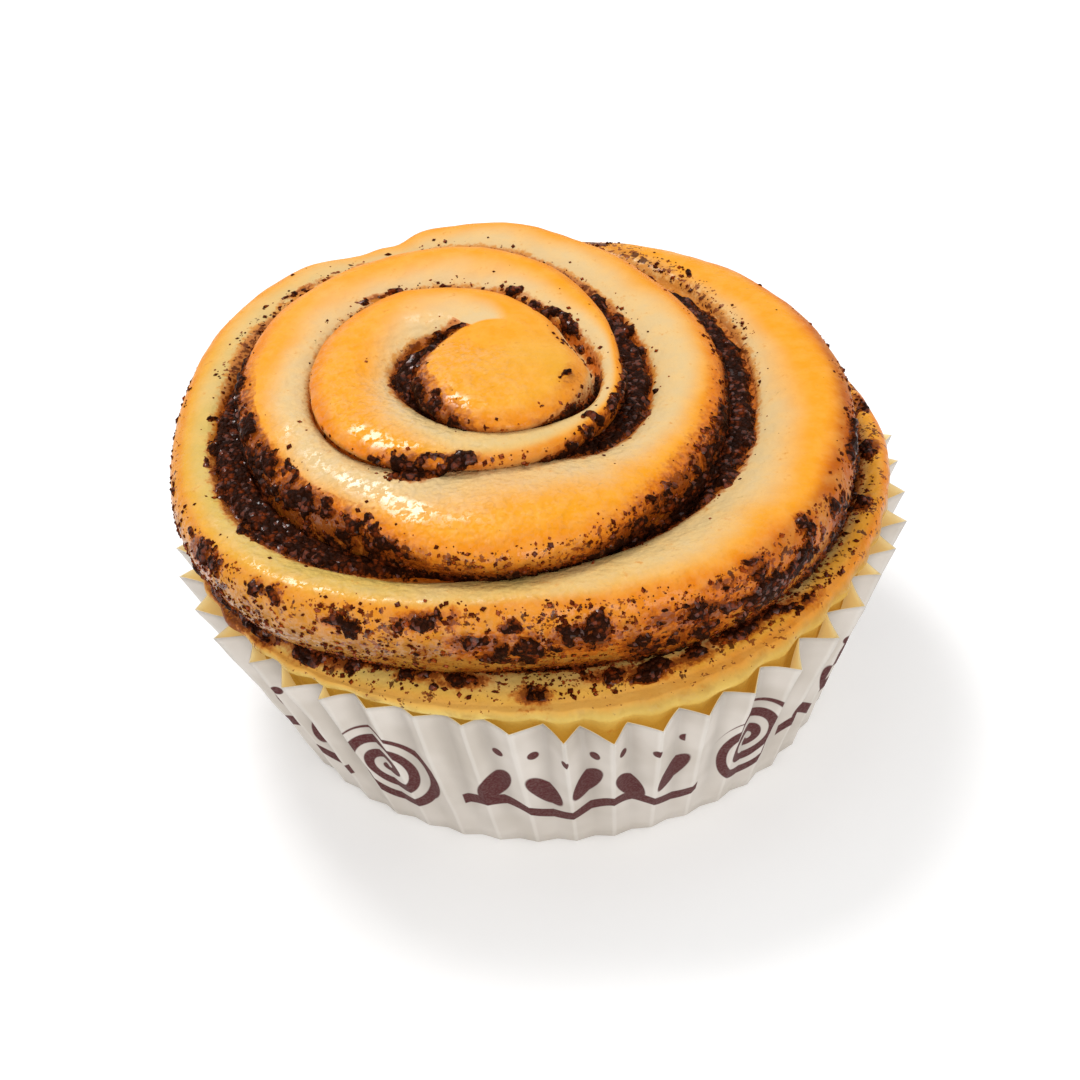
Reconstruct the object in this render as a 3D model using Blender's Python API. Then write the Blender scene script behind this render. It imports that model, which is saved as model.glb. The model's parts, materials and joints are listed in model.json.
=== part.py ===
"""Cinnamon roll baked in a fluted paper case.

The bun is one strip of dough wound counter-clockwise, seen from above, with a
ribbon of cinnamon filling between its turns. The core stands highest, and each
turn sits a step lower, down to the tail that lies just inside the case's rim.

Units are metres, with +Z up. The origin is the middle of the case's flat
bottom, and -Y is the front. A winding angle runs along the strip: 0 degrees is
+X on the first turn, and each turn adds 360 degrees.
"""

import math

import bmesh
import bpy

MM = 0.001
FULL_TURN = 360.0

# Paper case: a flat bottom and a pleated wall that leans outwards.
CASE_BASE_RADIUS = 38.6 * MM
CASE_RIM_RADIUS = 48.4 * MM
CASE_HEIGHT = 29.0 * MM
CASE_LEAN = -1.3 * MM
CASE_PAPER = 0.5 * MM
CASE_FLUTES = 48
FLUTE_REACH_BASE = 0.3 * MM
FLUTE_REACH_RIM = 1.8 * MM
FIRST_FOLD = 1.1
COLUMNS_PER_FLUTE = 4
CASE_EDGE_HEIGHT = 0.9 * MM
CASE_EDGE_INSET = 0.6 * MM
CASE_MIDDLE_HEIGHT = 15.0 * MM
FOLD_WANDER = 1.1
# Waves that space the folds unevenly: per turn, starting angle, share.
FOLD_WAVES = ((3, 120.0, 1.0), (7, 0.0, 0.7))
# Where the rim bulges, and where its folds are shallow: angle, size, spread.
RIM_BULGES = ((288.0, 2.7 * MM, 20.0), (5.0, 0.7 * MM, 20.0))
SHALLOW_FOLDS = ((249.0, 0.6, 14.0),)

# Clearance between pieces that touch, and from the dough to the case.
CLEARANCE = 0.35 * MM

# The winding: its centre, where the slit opens, where the tail ends.
COIL_CENTRE = (-4.5 * MM, -1.0 * MM)
SLIT_START = 135.0
TAIL_END = 1845.0
TAIL_TUCK = 1490.0
TUCK_LENGTH = 14.0
STEP = 9.0
TABLE_STEP = 45.0
CORE_RADIUS = 4.0 * MM
CORE_TOP = 56.8 * MM

# Millimetres at every 45 degrees of winding, from the slit's tip outwards:
# north-west, west, south-west, south, south-east, east, north-east, north.
CROWN_RADIUS = (
    (4.0, 6.7, 13.3, 18.8, 15.6, 9.2, 9.6, 13.0),
    (19.4, 23.2, 26.6, 23.0, 19.3, 16.4, 19.2, 27.0),
    (32.4, 33.3, 33.2, 37.0, 31.4, 29.3, 32.0, 39.2),
    (43.6, 42.4, 45.6, 42.4, 47.2, 46.4, 46.8, 44.8),
    (44.0, 42.4, 43.8, 45.4, 49.3, 52.8, 52.8, 51.0),
)
CROWN_HEIGHT = (
    (56.3, 55.6, 55.0, 54.6, 54.6, 54.8, 55.0, 55.0),
    (54.5, 53.5, 53.0, 52.5, 52.2, 52.2, 53.0, 53.5),
    (52.5, 50.5, 49.5, 48.5, 48.2, 48.4, 49.2, 50.5),
    (48.0, 45.0, 44.5, 44.0, 44.0, 44.2, 44.5, 42.5),
    (36.5, 32.0, 31.5, 31.0, 32.0, 34.0, 34.0, 33.0),
)
# The foot of each coil's outer wall, where the next coil's inner edge starts.
LEDGE_RADIUS = (
    (4.0, 12.4, 15.6, 18.3, 16.9, 13.2, 11.8, 14.4),
    (20.8, 24.0, 25.0, 19.8, 21.5, 20.7, 21.6, 27.8),
    (33.2, 37.2, 39.6, 34.6, 33.8, 34.8, 38.4, 42.6),
    (41.6, 39.6, 41.2, 39.4, 43.8, 47.8, 48.2, 48.4),
    (48.4, 48.4, 48.4, 48.4, 48.4, 48.4, 48.4, 48.4),
)
LEDGE_HEIGHT = (
    (56.3, 53.2, 52.3, 52.0, 51.8, 51.6, 52.2, 52.8),
    (52.2, 51.0, 50.2, 49.5, 48.3, 48.0, 49.2, 50.2),
    (48.4, 46.0, 44.5, 43.0, 43.0, 43.4, 44.5, 43.4),
    (37.5, 32.0, 33.0, 32.0, 32.0, 33.0, 33.5, 33.0),
    (30.0, 30.0, 30.0, 30.0, 30.0, 30.0, 30.0, 30.0),
)
# Width of the filling at the ledge, and how far it climbs the wall (0 to 1).
FILLING_WIDTH = (
    (0.0, 4.2, 2.4, 1.5, 1.7, 2.4, 2.0, 1.6),
    (1.4, 1.4, 1.5, 1.8, 3.4, 4.2, 2.8, 1.6),
    (1.8, 4.2, 4.6, 2.2, 2.4, 4.2, 4.2, 2.0),
    (1.5, 1.5, 1.6, 1.5, 1.6, 1.8, 1.6, 1.5),
    (1.5, 1.5, 1.5, 1.5, 1.5, 1.5, 1.5, 1.5),
)
FILLING_CLIMB = (
    (0.1, 0.55, 0.3, 0.1, 0.1, 0.2, 0.2, 0.1),
    (0.1, 0.1, 0.1, 0.15, 0.45, 0.55, 0.3, 0.1),
    (0.2, 0.5, 0.65, 0.4, 0.45, 0.5, 0.4, 0.1),
    (0.1, 0.1, 0.1, 0.1, 0.1, 0.1, 0.1, 0.1),
    (0.1, 0.1, 0.1, 0.1, 0.1, 0.1, 0.1, 0.1),
)

# Below the ledges the turns squeeze together to fit the case.
KNEE_HEIGHT = 27.0 * MM
NARROW_GAP = 1.4 * MM
OUTER_TURN_ROOM = 3.2 * MM
ROOM_PER_TURN = 4.5 * MM
ROOM_GROWS_BEFORE = 1310.0
TAIL_TIP_ROOM = 2.0 * MM
TAIL_TAPER_FROM = 1440.0

# The filling ribbon.
FILLING_START = 153.0
FILLING_END = 1485.0
FILLING_EDGE = 0.45 * MM
FULL_OVERHANG = 1.0 * MM
FOOT_TURN = 0.5

# Section of the strip: the rise from its inner edge, the round shoulder at its
# crown edge, and the wall that bulges before it turns in at the foot.
SHOULDER_ANGLE = math.radians(36.0)
SHOULDER_RUN = math.cos(SHOULDER_ANGLE)
SHOULDER_FALL = math.sin(SHOULDER_ANGLE)
SHOULDER_SHARE = 0.34
SHOULDER_LIMIT = 4.2 * MM
RISE_SHARE = 0.18
RISE_LIMIT = 1.8 * MM
RISE_RUN = 0.3
CORE_FLATNESS = 0.9
WALL_SHARE = 0.24
SLOPE_SHARE = 0.3
FOOT_BULGE = 0.1
FOOT_LIFT = 0.42
FOOT_DROP_SHARE = 0.3
FOOT_DROP_LIMIT = 0.8 * MM
UNDERCUT_HALF = 4.0 * MM

# Steps across the strip's top, down its wall, and up the filling that climbs it.
TOP_STEPS = 8
WALL_STEPS = 5
CLIMB_STEPS = 2


def along(table, winding):
    """Smooth value of a table at a winding angle, in metres."""
    values = [value for turn in table for value in turn]
    place = (winding - SLIT_START) / TABLE_STEP
    index = min(max(int(math.floor(place)), 0), len(values) - 2)
    t = place - index
    before = values[max(index - 1, 0)]
    here = values[index]
    there = values[index + 1]
    after = values[min(index + 2, len(values) - 1)]
    slope_here = (there - before) / 2.0
    slope_there = (after - here) / 2.0
    smooth = (
        (2 * t**3 - 3 * t**2 + 1) * here
        + (t**3 - 2 * t**2 + t) * slope_here
        + (3 * t**2 - 2 * t**3) * there
        + (t**3 - t**2) * slope_there
    )
    return smooth * MM


def blend(value, start, end):
    """0 before start, 1 after end, and a smooth step between them."""
    t = min(max((value - start) / (end - start), 0.0), 1.0)
    return t * t * (3.0 - 2.0 * t)


def case_mean_radius(z):
    return CASE_BASE_RADIUS + (CASE_RIM_RADIUS - CASE_BASE_RADIUS) * z / CASE_HEIGHT


def flute_reach(z):
    return FLUTE_REACH_BASE + (FLUTE_REACH_RIM - FLUTE_REACH_BASE) * z / CASE_HEIGHT


def lean(z):
    """Sideways lean of the whole roll: its rim is off the middle of its base."""
    return CASE_LEAN * min(z / CASE_HEIGHT, 1.0)


def room_inside_case(z):
    """Radius of the round that clears the folds on the inside of the case."""
    return case_mean_radius(z) - flute_reach(z) - CASE_PAPER - CLEARANCE


def squeeze(z):
    """Scale about the case's axis that makes the bun taper with the case."""
    return room_inside_case(min(z, CASE_HEIGHT)) / room_inside_case(CASE_HEIGHT)


def reach_to_case(winding):
    """Distance from the coil's centre to the case along one direction."""
    angle = math.radians(winding)
    off_axis = COIL_CENTRE[0] * math.cos(angle) + COIL_CENTRE[1] * math.sin(angle)
    centre_offset = COIL_CENTRE[0] ** 2 + COIL_CENTRE[1] ** 2
    room = room_inside_case(CASE_HEIGHT)
    return math.sqrt(off_axis**2 - centre_offset + room**2) - off_axis


def place(winding, radius, z):
    """Point at a winding angle, a distance from the coil's centre and a height."""
    angle = math.radians(winding)
    scale = squeeze(z)
    x = (COIL_CENTRE[0] + radius * math.cos(angle)) * scale
    y = (COIL_CENTRE[1] + radius * math.sin(angle)) * scale
    return (x + lean(z), y, z)


def bezier(a, b, c, d, t):
    s = 1.0 - t
    return tuple(
        s**3 * a[i] + 3 * s * s * t * b[i] + 3 * s * t * t * c[i] + t**3 * d[i]
        for i in range(2)
    )


def outer_turn(winding):
    """1 where the strip's outer side faces the case, 0 where it faces a turn."""
    return blend(winding, TAIL_TUCK, TAIL_TUCK + TUCK_LENGTH)


def crown_edge(winding):
    return (along(CROWN_RADIUS, winding), along(CROWN_HEIGHT, winding))


def ledge(winding):
    """Inner top edge of the coil that lies outside this winding angle."""
    return (along(LEDGE_RADIUS, winding), along(LEDGE_HEIGHT, winding))


def gap_width(winding):
    """Gap between two turns at the ledge; it opens from the slit's tip."""
    opening = blend(winding, SLIT_START, SLIT_START + TABLE_STEP / 2)
    return max(along(FILLING_WIDTH, winding), NARROW_GAP * opening)


def foot(winding):
    """Foot of the outer wall: on the ledge's inner side, or on the case."""
    radius, height = ledge(winding)
    facing_case = outer_turn(winding)
    gap = gap_width(winding)
    inner = radius - gap
    radius = inner + (reach_to_case(winding) - inner) * facing_case
    drop = min(FOOT_DROP_SHARE * gap, FOOT_DROP_LIMIT)
    height = height - drop + (CASE_HEIGHT - height + drop) * facing_case
    return (radius, height)


def ledge_knee(winding):
    """Radius of a turn's inner side at the knee, with room for those outside."""
    room = OUTER_TURN_ROOM
    room += ROOM_PER_TURN * max(ROOM_GROWS_BEFORE - winding, 0.0) / FULL_TURN
    room += (TAIL_TIP_ROOM - OUTER_TURN_ROOM) * blend(winding, TAIL_TAPER_FROM, TAIL_TUCK)
    return min(along(LEDGE_RADIUS, winding), reach_to_case(winding) - room)


def wall_knee(winding):
    """Radius of a turn's outer side at the knee."""
    inner = ledge_knee(winding) - min(gap_width(winding), NARROW_GAP)
    return inner + (reach_to_case(winding) - inner) * outer_turn(winding)


def inner_edge(winding):
    """Where the strip's top starts: on the core, or on the ledge inside it."""
    if winding <= SLIT_START + FULL_TURN:
        return (CORE_RADIUS, along(CROWN_HEIGHT, SLIT_START))
    return ledge(winding - FULL_TURN)


def top_point(winding, t):
    """Point across the strip's top, from its inner edge to its crown edge."""
    inner = inner_edge(winding)
    outer = crown_edge(winding)
    width = outer[0] - inner[0]
    on_core = 1.0 - blend(winding, SLIT_START + FULL_TURN, SLIT_START + 1.25 * FULL_TURN)
    rise = min(RISE_SHARE * width, RISE_LIMIT) * (1.0 - CORE_FLATNESS * on_core)
    near = (inner[0] + RISE_RUN * width, inner[1] + rise)
    reach = min(SHOULDER_SHARE * width, SHOULDER_LIMIT)
    far = (outer[0] - reach * SHOULDER_RUN, outer[1] + reach * SHOULDER_FALL)
    return bezier(inner, near, far, outer, t)


def wall_point(winding, t):
    """Point down the strip's outer wall, from its crown edge to its foot."""
    top = crown_edge(winding)
    bottom = foot(winding)
    drop = top[1] - bottom[1]
    slope_out = max(bottom[0] - top[0], 0.0)
    undercut = max(top[0] - bottom[0], 0.0)
    reach = WALL_SHARE * drop + SLOPE_SHARE * slope_out
    near = (top[0] + reach * SHOULDER_RUN, top[1] - reach * SHOULDER_FALL)
    low = FOOT_LIFT * drop / (1.0 + undercut / UNDERCUT_HALF)
    far = (bottom[0] + FOOT_BULGE * drop + undercut, bottom[1] + low)
    return bezier(top, near, far, bottom, t)


def wall_normal(winding, t):
    """Direction out of the wall, in the plane of radius and height."""
    before = wall_point(winding, max(t - 0.02, 0.0))
    after = wall_point(winding, min(t + 0.02, 1.0))
    along_r = after[0] - before[0]
    along_z = after[1] - before[1]
    length = math.hypot(along_r, along_z)
    return (-along_z / length, along_r / length)


def column_angles(start, end):
    count = round((end - start) / STEP)
    return [start + (end - start) * i / count for i in range(count + 1)]


def new_object(name, mesh_builder, colour, roughness, sharp_angle):
    """Object with one closed mesh, its own material and smooth shading."""
    mesh = bpy.data.meshes.new(name)
    bm = bmesh.new()
    mesh_builder(bm)
    bmesh.ops.remove_doubles(bm, verts=bm.verts, dist=0.002 * MM)
    bmesh.ops.dissolve_degenerate(bm, edges=bm.edges, dist=0.001 * MM)
    bmesh.ops.recalc_face_normals(bm, faces=bm.faces)
    bm.to_mesh(mesh)
    bm.free()
    mesh.shade_smooth()
    mesh.set_sharp_from_angle(angle=math.radians(sharp_angle))
    obj = bpy.data.objects.new(name, mesh)
    bpy.context.scene.collection.objects.link(obj)
    material = bpy.data.materials.new(name)
    material.use_nodes = True
    shader = material.node_tree.nodes["Principled BSDF"]
    shader.inputs["Base Color"].default_value = (*colour, 1.0)
    shader.inputs["Roughness"].default_value = roughness
    shader.inputs["Metallic"].default_value = 0.0
    mesh.materials.append(material)
    return obj


def skin(bm, rows, close_rows=False):
    """Quads between neighbouring rows of points; every row has as many."""
    grid = [[bm.verts.new(point) for point in row] for row in rows]
    spans = len(grid) if close_rows else len(grid) - 1
    for i in range(spans):
        one = grid[i]
        two = grid[(i + 1) % len(grid)]
        for j in range(len(one) - 1):
            bm.faces.new((one[j], one[j + 1], two[j + 1], two[j]))
    return grid


def dough_floor():
    return CASE_PAPER + CLEARANCE


def inner_side(winding):
    """Points down the strip's inner side, from its top edge to the floor."""
    turn_inside = winding - FULL_TURN
    radius, height = ledge(turn_inside)
    knee = ledge_knee(turn_inside)
    return [
        place(winding, radius, height),
        place(winding, knee, KNEE_HEIGHT),
        place(winding, knee, dough_floor()),
    ]


def outer_side(winding):
    """Points down the strip's outer side, from its crown edge to the floor."""
    points = []
    for j in range(WALL_STEPS + 1):
        radius, height = wall_point(winding, j / WALL_STEPS)
        points.append(place(winding, radius, height))
    knee = wall_knee(winding)
    points.append(place(winding, knee, KNEE_HEIGHT))
    points.append(place(winding, knee, dough_floor()))
    return points


def top_side(winding):
    points = []
    for i in range(TOP_STEPS + 1):
        radius, height = top_point(winding, i / TOP_STEPS)
        points.append(place(winding, radius, height))
    return points


def build_dough(bm):
    """The wound strip: top, outer side, inner side, floor, core and tail."""
    windings = column_angles(SLIT_START, TAIL_END)
    per_turn = round(FULL_TURN / STEP)
    skin(bm, [top_side(w) for w in windings])
    skin(bm, [outer_side(w) for w in windings])
    skin(bm, [inner_side(w) for w in windings[per_turn:]])
    floor = dough_floor()
    floor_rows = []
    for w in windings[: per_turn + 1]:
        floor_rows.append([place(w, CORE_RADIUS, floor), place(w, wall_knee(w), floor)])
    skin(bm, floor_rows)
    floor_rows = []
    for w in windings[per_turn:]:
        inner = ledge_knee(w - FULL_TURN)
        floor_rows.append([place(w, inner, floor), place(w, wall_knee(w), floor)])
    skin(bm, floor_rows)
    core_windings = windings[:per_turn]
    ring_height = along(CROWN_HEIGHT, SLIT_START)
    for centre_height, edge_height in ((CORE_TOP, ring_height), (floor, floor)):
        centre = bm.verts.new(place(0.0, 0.0, centre_height))
        ring = [bm.verts.new(place(w, CORE_RADIUS, edge_height)) for w in core_windings]
        for i in range(per_turn):
            bm.faces.new((centre, ring[i], ring[(i + 1) % per_turn]))
    tail = top_side(TAIL_END) + outer_side(TAIL_END)[1:] + inner_side(TAIL_END)[:0:-1]
    bm.faces.new([bm.verts.new(point) for point in tail])


def toward_ledge(direction, share):
    """Unit vector turned from a direction to level, outwards, by a share."""
    r = direction[0] * (1.0 - share) + share
    z = direction[1] * (1.0 - share)
    length = math.hypot(r, z)
    return (r / length, z / length)


def filling_section(winding):
    """Closed outline of the ribbon between the wall and the next ledge."""
    overhang = min(max(crown_edge(winding)[0] - foot(winding)[0], 0.0) / FULL_OVERHANG, 1.0)
    climb = along(FILLING_CLIMB, winding) / MM * (1.0 - overhang)
    shown = gap_width(winding) - 2 * CLEARANCE
    against_wall = []
    outer_face = []
    for i in range(CLIMB_STEPS + 1):
        share = i / CLIMB_STEPS
        t = 1.0 - climb * (1.0 - share)
        radius, height = wall_point(winding, t)
        normal = wall_normal(winding, t)
        if i == CLIMB_STEPS:
            normal = toward_ledge(normal, FOOT_TURN)
        off_wall = CLEARANCE / (normal[0] if i == CLIMB_STEPS else 1.0)
        radius += normal[0] * off_wall
        height += normal[1] * off_wall
        against_wall.append((radius, height))
        thick = FILLING_EDGE + (shown - FILLING_EDGE) * share**2
        out = toward_ledge(normal, max(share**2, overhang))
        outer_face.append((radius + thick * out[0], height + thick * out[1]))
    floor = dough_floor()
    knee_in = wall_knee(winding) + CLEARANCE
    knee_out = ledge_knee(winding) - CLEARANCE
    outline = outer_face
    outline += [(knee_out, KNEE_HEIGHT), (knee_out, floor), (knee_in, floor)]
    outline += [(knee_in, KNEE_HEIGHT)]
    outline += against_wall[::-1]
    return [place(winding, radius, height) for radius, height in outline]


def build_filling(bm):
    sections = [filling_section(w) for w in column_angles(FILLING_START, FILLING_END)]
    skin(bm, [section + section[:1] for section in sections])
    for section in (sections[0], sections[-1]):
        bm.faces.new([bm.verts.new(point) for point in section])


def swell(bumps, degrees):
    """Sum of smooth bumps round the case at a direction."""
    total = 0.0
    for centre, size, spread in bumps:
        off = (degrees - centre + 180.0) % FULL_TURN - 180.0
        total += size * math.exp(-((off / spread) ** 2))
    return total


def case_wall(turn_share, z, inset):
    """Point on the pleated wall: sharp folds outwards, rounder ones inwards."""
    level = z / CASE_HEIGHT
    degrees = FULL_TURN * turn_share
    wander = 0.0
    for per_turn, start, share in FOLD_WAVES:
        wander += share * math.sin(math.radians(per_turn * degrees + start))
    angle = math.radians(degrees + FIRST_FOLD + FOLD_WANDER * wander * level)
    fold = 2.0 - 2.0 * abs(math.sin(math.pi * CASE_FLUTES * turn_share))
    reach = flute_reach(z)
    radius = case_mean_radius(z) - reach - inset + swell(RIM_BULGES, degrees) * level
    radius += reach * fold * (1.0 - swell(SHALLOW_FOLDS, degrees) * level)
    return (radius * math.cos(angle) + lean(z), radius * math.sin(angle), z)


def build_paper_case(bm):
    outside = ((0.0, CASE_EDGE_INSET), (CASE_EDGE_HEIGHT, 0.0), (CASE_MIDDLE_HEIGHT, 0.0))
    inside = ((CASE_MIDDLE_HEIGHT, CASE_PAPER), (CASE_PAPER, CASE_PAPER))
    profile = outside + ((CASE_HEIGHT, 0.0), (CASE_HEIGHT, CASE_PAPER)) + inside
    columns = CASE_FLUTES * COLUMNS_PER_FLUTE
    rows = []
    for i in range(columns):
        rows.append([case_wall(i / columns, z, inset) for z, inset in profile])
    grid = skin(bm, rows, close_rows=True)
    bm.faces.new([column[0] for column in grid])
    bm.faces.new([column[-1] for column in grid])


def main():
    for obj in list(bpy.data.objects):
        bpy.data.objects.remove(obj, do_unlink=True)
    new_object("dough", build_dough, (0.87, 0.52, 0.16), 0.35, 50.0)
    new_object("filling", build_filling, (0.045, 0.018, 0.014), 0.55, 50.0)
    new_object("paper_case", build_paper_case, (0.75, 0.71, 0.67), 0.75, 40.0)


main()
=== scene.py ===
# %% [markdown]
# # A cinnamon roll in its paper case
#
# The roll is one strip of yeast dough with a cinnamon filling, wound up and baked in a
# pleated paper case. This file gives it its looks: the crust that goes from pale to
# golden, the crumbly filling, and the paper. It could be sculpted by hand, but a coil is
# a rule, so every surface here is worked out from the same few measured sizes.
#
# The first cell loads the plain model, which is the frame that everything has to fit.

# %% Load the frame
import json
import math
from itertools import product

import bpy
import numpy as np
from mathutils import Euler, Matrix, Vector

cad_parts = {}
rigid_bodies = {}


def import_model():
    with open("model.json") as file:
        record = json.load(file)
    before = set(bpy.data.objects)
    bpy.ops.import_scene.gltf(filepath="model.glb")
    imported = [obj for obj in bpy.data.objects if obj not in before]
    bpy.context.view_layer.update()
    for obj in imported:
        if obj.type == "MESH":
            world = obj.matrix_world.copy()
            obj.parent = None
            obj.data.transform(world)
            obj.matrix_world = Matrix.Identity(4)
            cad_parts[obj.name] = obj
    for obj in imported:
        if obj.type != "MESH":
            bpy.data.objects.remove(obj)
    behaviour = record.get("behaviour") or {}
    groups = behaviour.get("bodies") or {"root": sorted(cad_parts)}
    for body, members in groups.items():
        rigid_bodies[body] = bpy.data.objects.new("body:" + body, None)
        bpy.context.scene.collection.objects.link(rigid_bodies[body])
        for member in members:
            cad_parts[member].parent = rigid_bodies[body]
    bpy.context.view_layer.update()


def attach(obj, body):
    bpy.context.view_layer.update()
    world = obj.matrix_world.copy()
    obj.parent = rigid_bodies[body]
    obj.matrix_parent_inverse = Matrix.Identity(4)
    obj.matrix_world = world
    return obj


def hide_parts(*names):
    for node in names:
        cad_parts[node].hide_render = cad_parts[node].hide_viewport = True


for leftover in list(bpy.data.objects):
    bpy.data.objects.remove(leftover, do_unlink=True)
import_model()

# %% [markdown]
# The camera comes first, because it decides what the picture shows. It looks down at the
# roll from the front, rolled by a few degrees, through a long lens. Blender wants a
# rotation, and the easy way to one is to turn the viewing direction into a tracking
# rotation and then roll about it.

# %% The camera
SCENE = bpy.context.scene
CAMERA_PLACE = (-0.0013, -0.2681, 0.2250)
CAMERA_DOWN = math.radians(37.26)
CAMERA_ROLL = math.radians(4.06)
CAMERA_LENS = 79.9

camera_data = bpy.data.cameras.new("camera")
camera_data.lens = CAMERA_LENS
camera_data.clip_start = 0.01
camera = bpy.data.objects.new("camera", camera_data)
camera.rotation_mode = "QUATERNION"
looking = Vector((0.0, math.cos(CAMERA_DOWN), -math.sin(CAMERA_DOWN)))
roll = Euler((0.0, 0.0, -CAMERA_ROLL)).to_quaternion()
camera.rotation_quaternion = looking.to_track_quat("-Z", "Y") @ roll
camera.location = CAMERA_PLACE
SCENE.collection.objects.link(camera)
SCENE.camera = camera
print("camera:", CAMERA_LENS, "mm lens at", CAMERA_PLACE, "m")

# %% [markdown]
# ## The sizes of the winding
#
# A winding angle runs along the strip of dough: 135 degrees is the tip of the slit in the
# middle, and each turn adds 360. The tables hold a value at every 45 degrees, in
# millimetres: how far out and how high the crown of a turn is, and the same for the
# ledge where the next turn starts. These are the sizes that the plain model was made
# with, so the fine surface falls on it. All shapes are worked out in millimetres, and a
# mesh is scaled to metres when it is made.

# %% Tables along the strip
MM = 0.001
TINY, SHORTEST = 1e-9, 1e-6
TURN = 360.0
SLIT = 135.0
TAIL = 1845.0
TABLE_STEP = 45.0
FRONT_OF_THIRD = 990.0


def turns(*rows):
    """One table from a row for each turn; a single number fills its whole row."""
    steps = max(np.size(row) for row in rows)
    return np.concatenate([np.broadcast_to(np.asarray(row, float), steps) for row in rows])


CROWN_RADIUS = turns(
    (4.0, 6.7, 13.3, 18.8, 15.6, 9.2, 9.6, 13.0),
    (19.4, 23.2, 26.6, 23.0, 19.3, 16.4, 19.2, 27.0),
    (32.4, 33.3, 33.2, 37.0, 31.4, 29.3, 32.0, 39.2),
    (43.6, 42.4, 45.6, 42.4, 47.2, 46.4, 46.8, 44.8),
    (44.0, 42.4, 43.8, 45.4, 49.3, 52.2, 52.0, 50.6),
)
CROWN_HEIGHT = turns(
    (56.3, 55.6, 55.0, 54.6, 54.6, 54.8, 55.0, 55.0),
    (54.5, 53.5, 53.0, 52.5, 52.2, 52.2, 53.0, 53.5),
    (52.5, 50.5, 49.5, 48.5, 48.2, 48.4, 49.2, 50.5),
    (48.0, 45.0, 44.5, 44.0, 44.0, 44.2, 44.5, 42.5),
    (36.5, 32.0, 31.5, 31.0, 32.0, 34.0, 34.0, 33.0),
)
LEDGE_RADIUS = turns(
    (4.0, 12.4, 15.2, 17.6, 16.6, 13.2, 11.8, 14.4),
    (20.8, 24.0, 25.2, 20.2, 21.5, 20.7, 21.6, 27.8),
    (33.2, 37.2, 39.6, 34.6, 33.8, 34.8, 38.4, 42.6),
    (41.6, 39.6, 41.2, 39.4, 43.8, 47.8, 48.2, 48.4),
    48.4,
)
LEDGE_HEIGHT = turns(
    (56.3, 53.2, 52.7, 53.0, 52.3, 51.6, 52.2, 52.8),
    (52.2, 51.4, 50.9, 50.0, 48.3, 48.0, 49.2, 50.2),
    (48.4, 46.0, 44.5, 43.0, 43.0, 43.4, 44.5, 43.4),
    (37.5, 32.0, 33.0, 32.0, 32.0, 33.0, 33.5, 33.0),
    30.0,
)
FILLING_WIDTH = turns(
    (0.0, 4.2, 2.4, 1.5, 1.7, 2.4, 2.0, 1.6),
    (1.4, 1.4, 1.5, 1.8, 3.4, 4.2, 2.8, 1.6),
    (1.8, 4.2, 4.6, 2.2, 2.4, 4.2, 4.2, 2.0),
    (1.5, 1.5, 1.6, 1.5, 1.6, 1.8, 1.6, 1.5),
    1.5,
)


def along(table, winding, step=TABLE_STEP):
    """Smooth value of a table at each winding angle."""
    place = np.minimum((np.asarray(winding, float) - SLIT) / step, len(table) - 1)
    index = np.clip(np.floor(place).astype(int), 0, len(table) - 2)
    t = place - index
    here = table[index]
    there = table[index + 1]
    slope_here = (there - table[np.maximum(index - 1, 0)]) / 2
    slope_there = (table[np.minimum(index + 2, len(table) - 1)] - here) / 2
    return (
        (2 * t**3 - 3 * t**2 + 1) * here
        + (t**3 - 2 * t**2 + t) * slope_here
        + (3 * t**2 - 2 * t**3) * there
        + (t**3 - t**2) * slope_there
    )


def ease(share):
    """Makes a share from 0 to 1 leave and arrive softly."""
    return share * share * (3 - 2 * share)


def blend(value, start, end):
    """0 before start, 1 after end, and a smooth step between them."""
    return ease(np.clip((np.asarray(value, float) - start) / (end - start), 0.0, 1.0))


print("strip:", round((TAIL - SLIT) / TURN, 2), "turns")

# %% [markdown]
# The paper case sets how far the lowest turns can go out. It is a cone that leans a
# little to the left, and the roll tapers and leans with it below the rim.

# %% The case around the roll
CASE_BASE, CASE_RIM, CASE_HEIGHT, CASE_LEAN = 38.6, 48.4, 29.0, -1.3
FOLDS, FOLD_REACH_BASE, FOLD_REACH_RIM = 48, 0.3, 1.8
CASE_ROOM = 0.85
COIL_X, COIL_Y = -4.5, -1.0


def case_radius(z):
    return CASE_BASE + (CASE_RIM - CASE_BASE) * z / CASE_HEIGHT


def fold_reach(z):
    return FOLD_REACH_BASE + (FOLD_REACH_RIM - FOLD_REACH_BASE) * z / CASE_HEIGHT


def room_in_case(z):
    """Radius of the round that the folds leave free."""
    return case_radius(z) - fold_reach(z) - CASE_ROOM


def reach_to_case(winding):
    """Distance from the coil's centre to the case in a direction, at the rim."""
    angle = np.radians(winding)
    off_axis = COIL_X * np.cos(angle) + COIL_Y * np.sin(angle)
    offset = COIL_X**2 + COIL_Y**2
    return np.sqrt(off_axis**2 - offset + room_in_case(CASE_HEIGHT) ** 2) - off_axis


def stacked(*parts):
    """Arrays stretched to one shape and put side by side on a new last axis."""
    return np.stack(np.broadcast_arrays(*parts), axis=-1)


def place(winding, radius, z):
    """Points at winding angles, distances from the coil's centre and heights."""
    angle = np.radians(winding)
    scale = room_in_case(np.minimum(z, CASE_HEIGHT)) / room_in_case(CASE_HEIGHT)
    x = (COIL_X + radius * np.cos(angle)) * scale
    y = (COIL_Y + radius * np.sin(angle)) * scale
    lean = CASE_LEAN * np.minimum(z / CASE_HEIGHT, 1.0)
    return stacked(x + lean, y, z)


print("room in the case at its rim:", round(room_in_case(CASE_HEIGHT), 2), "mm")

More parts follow.
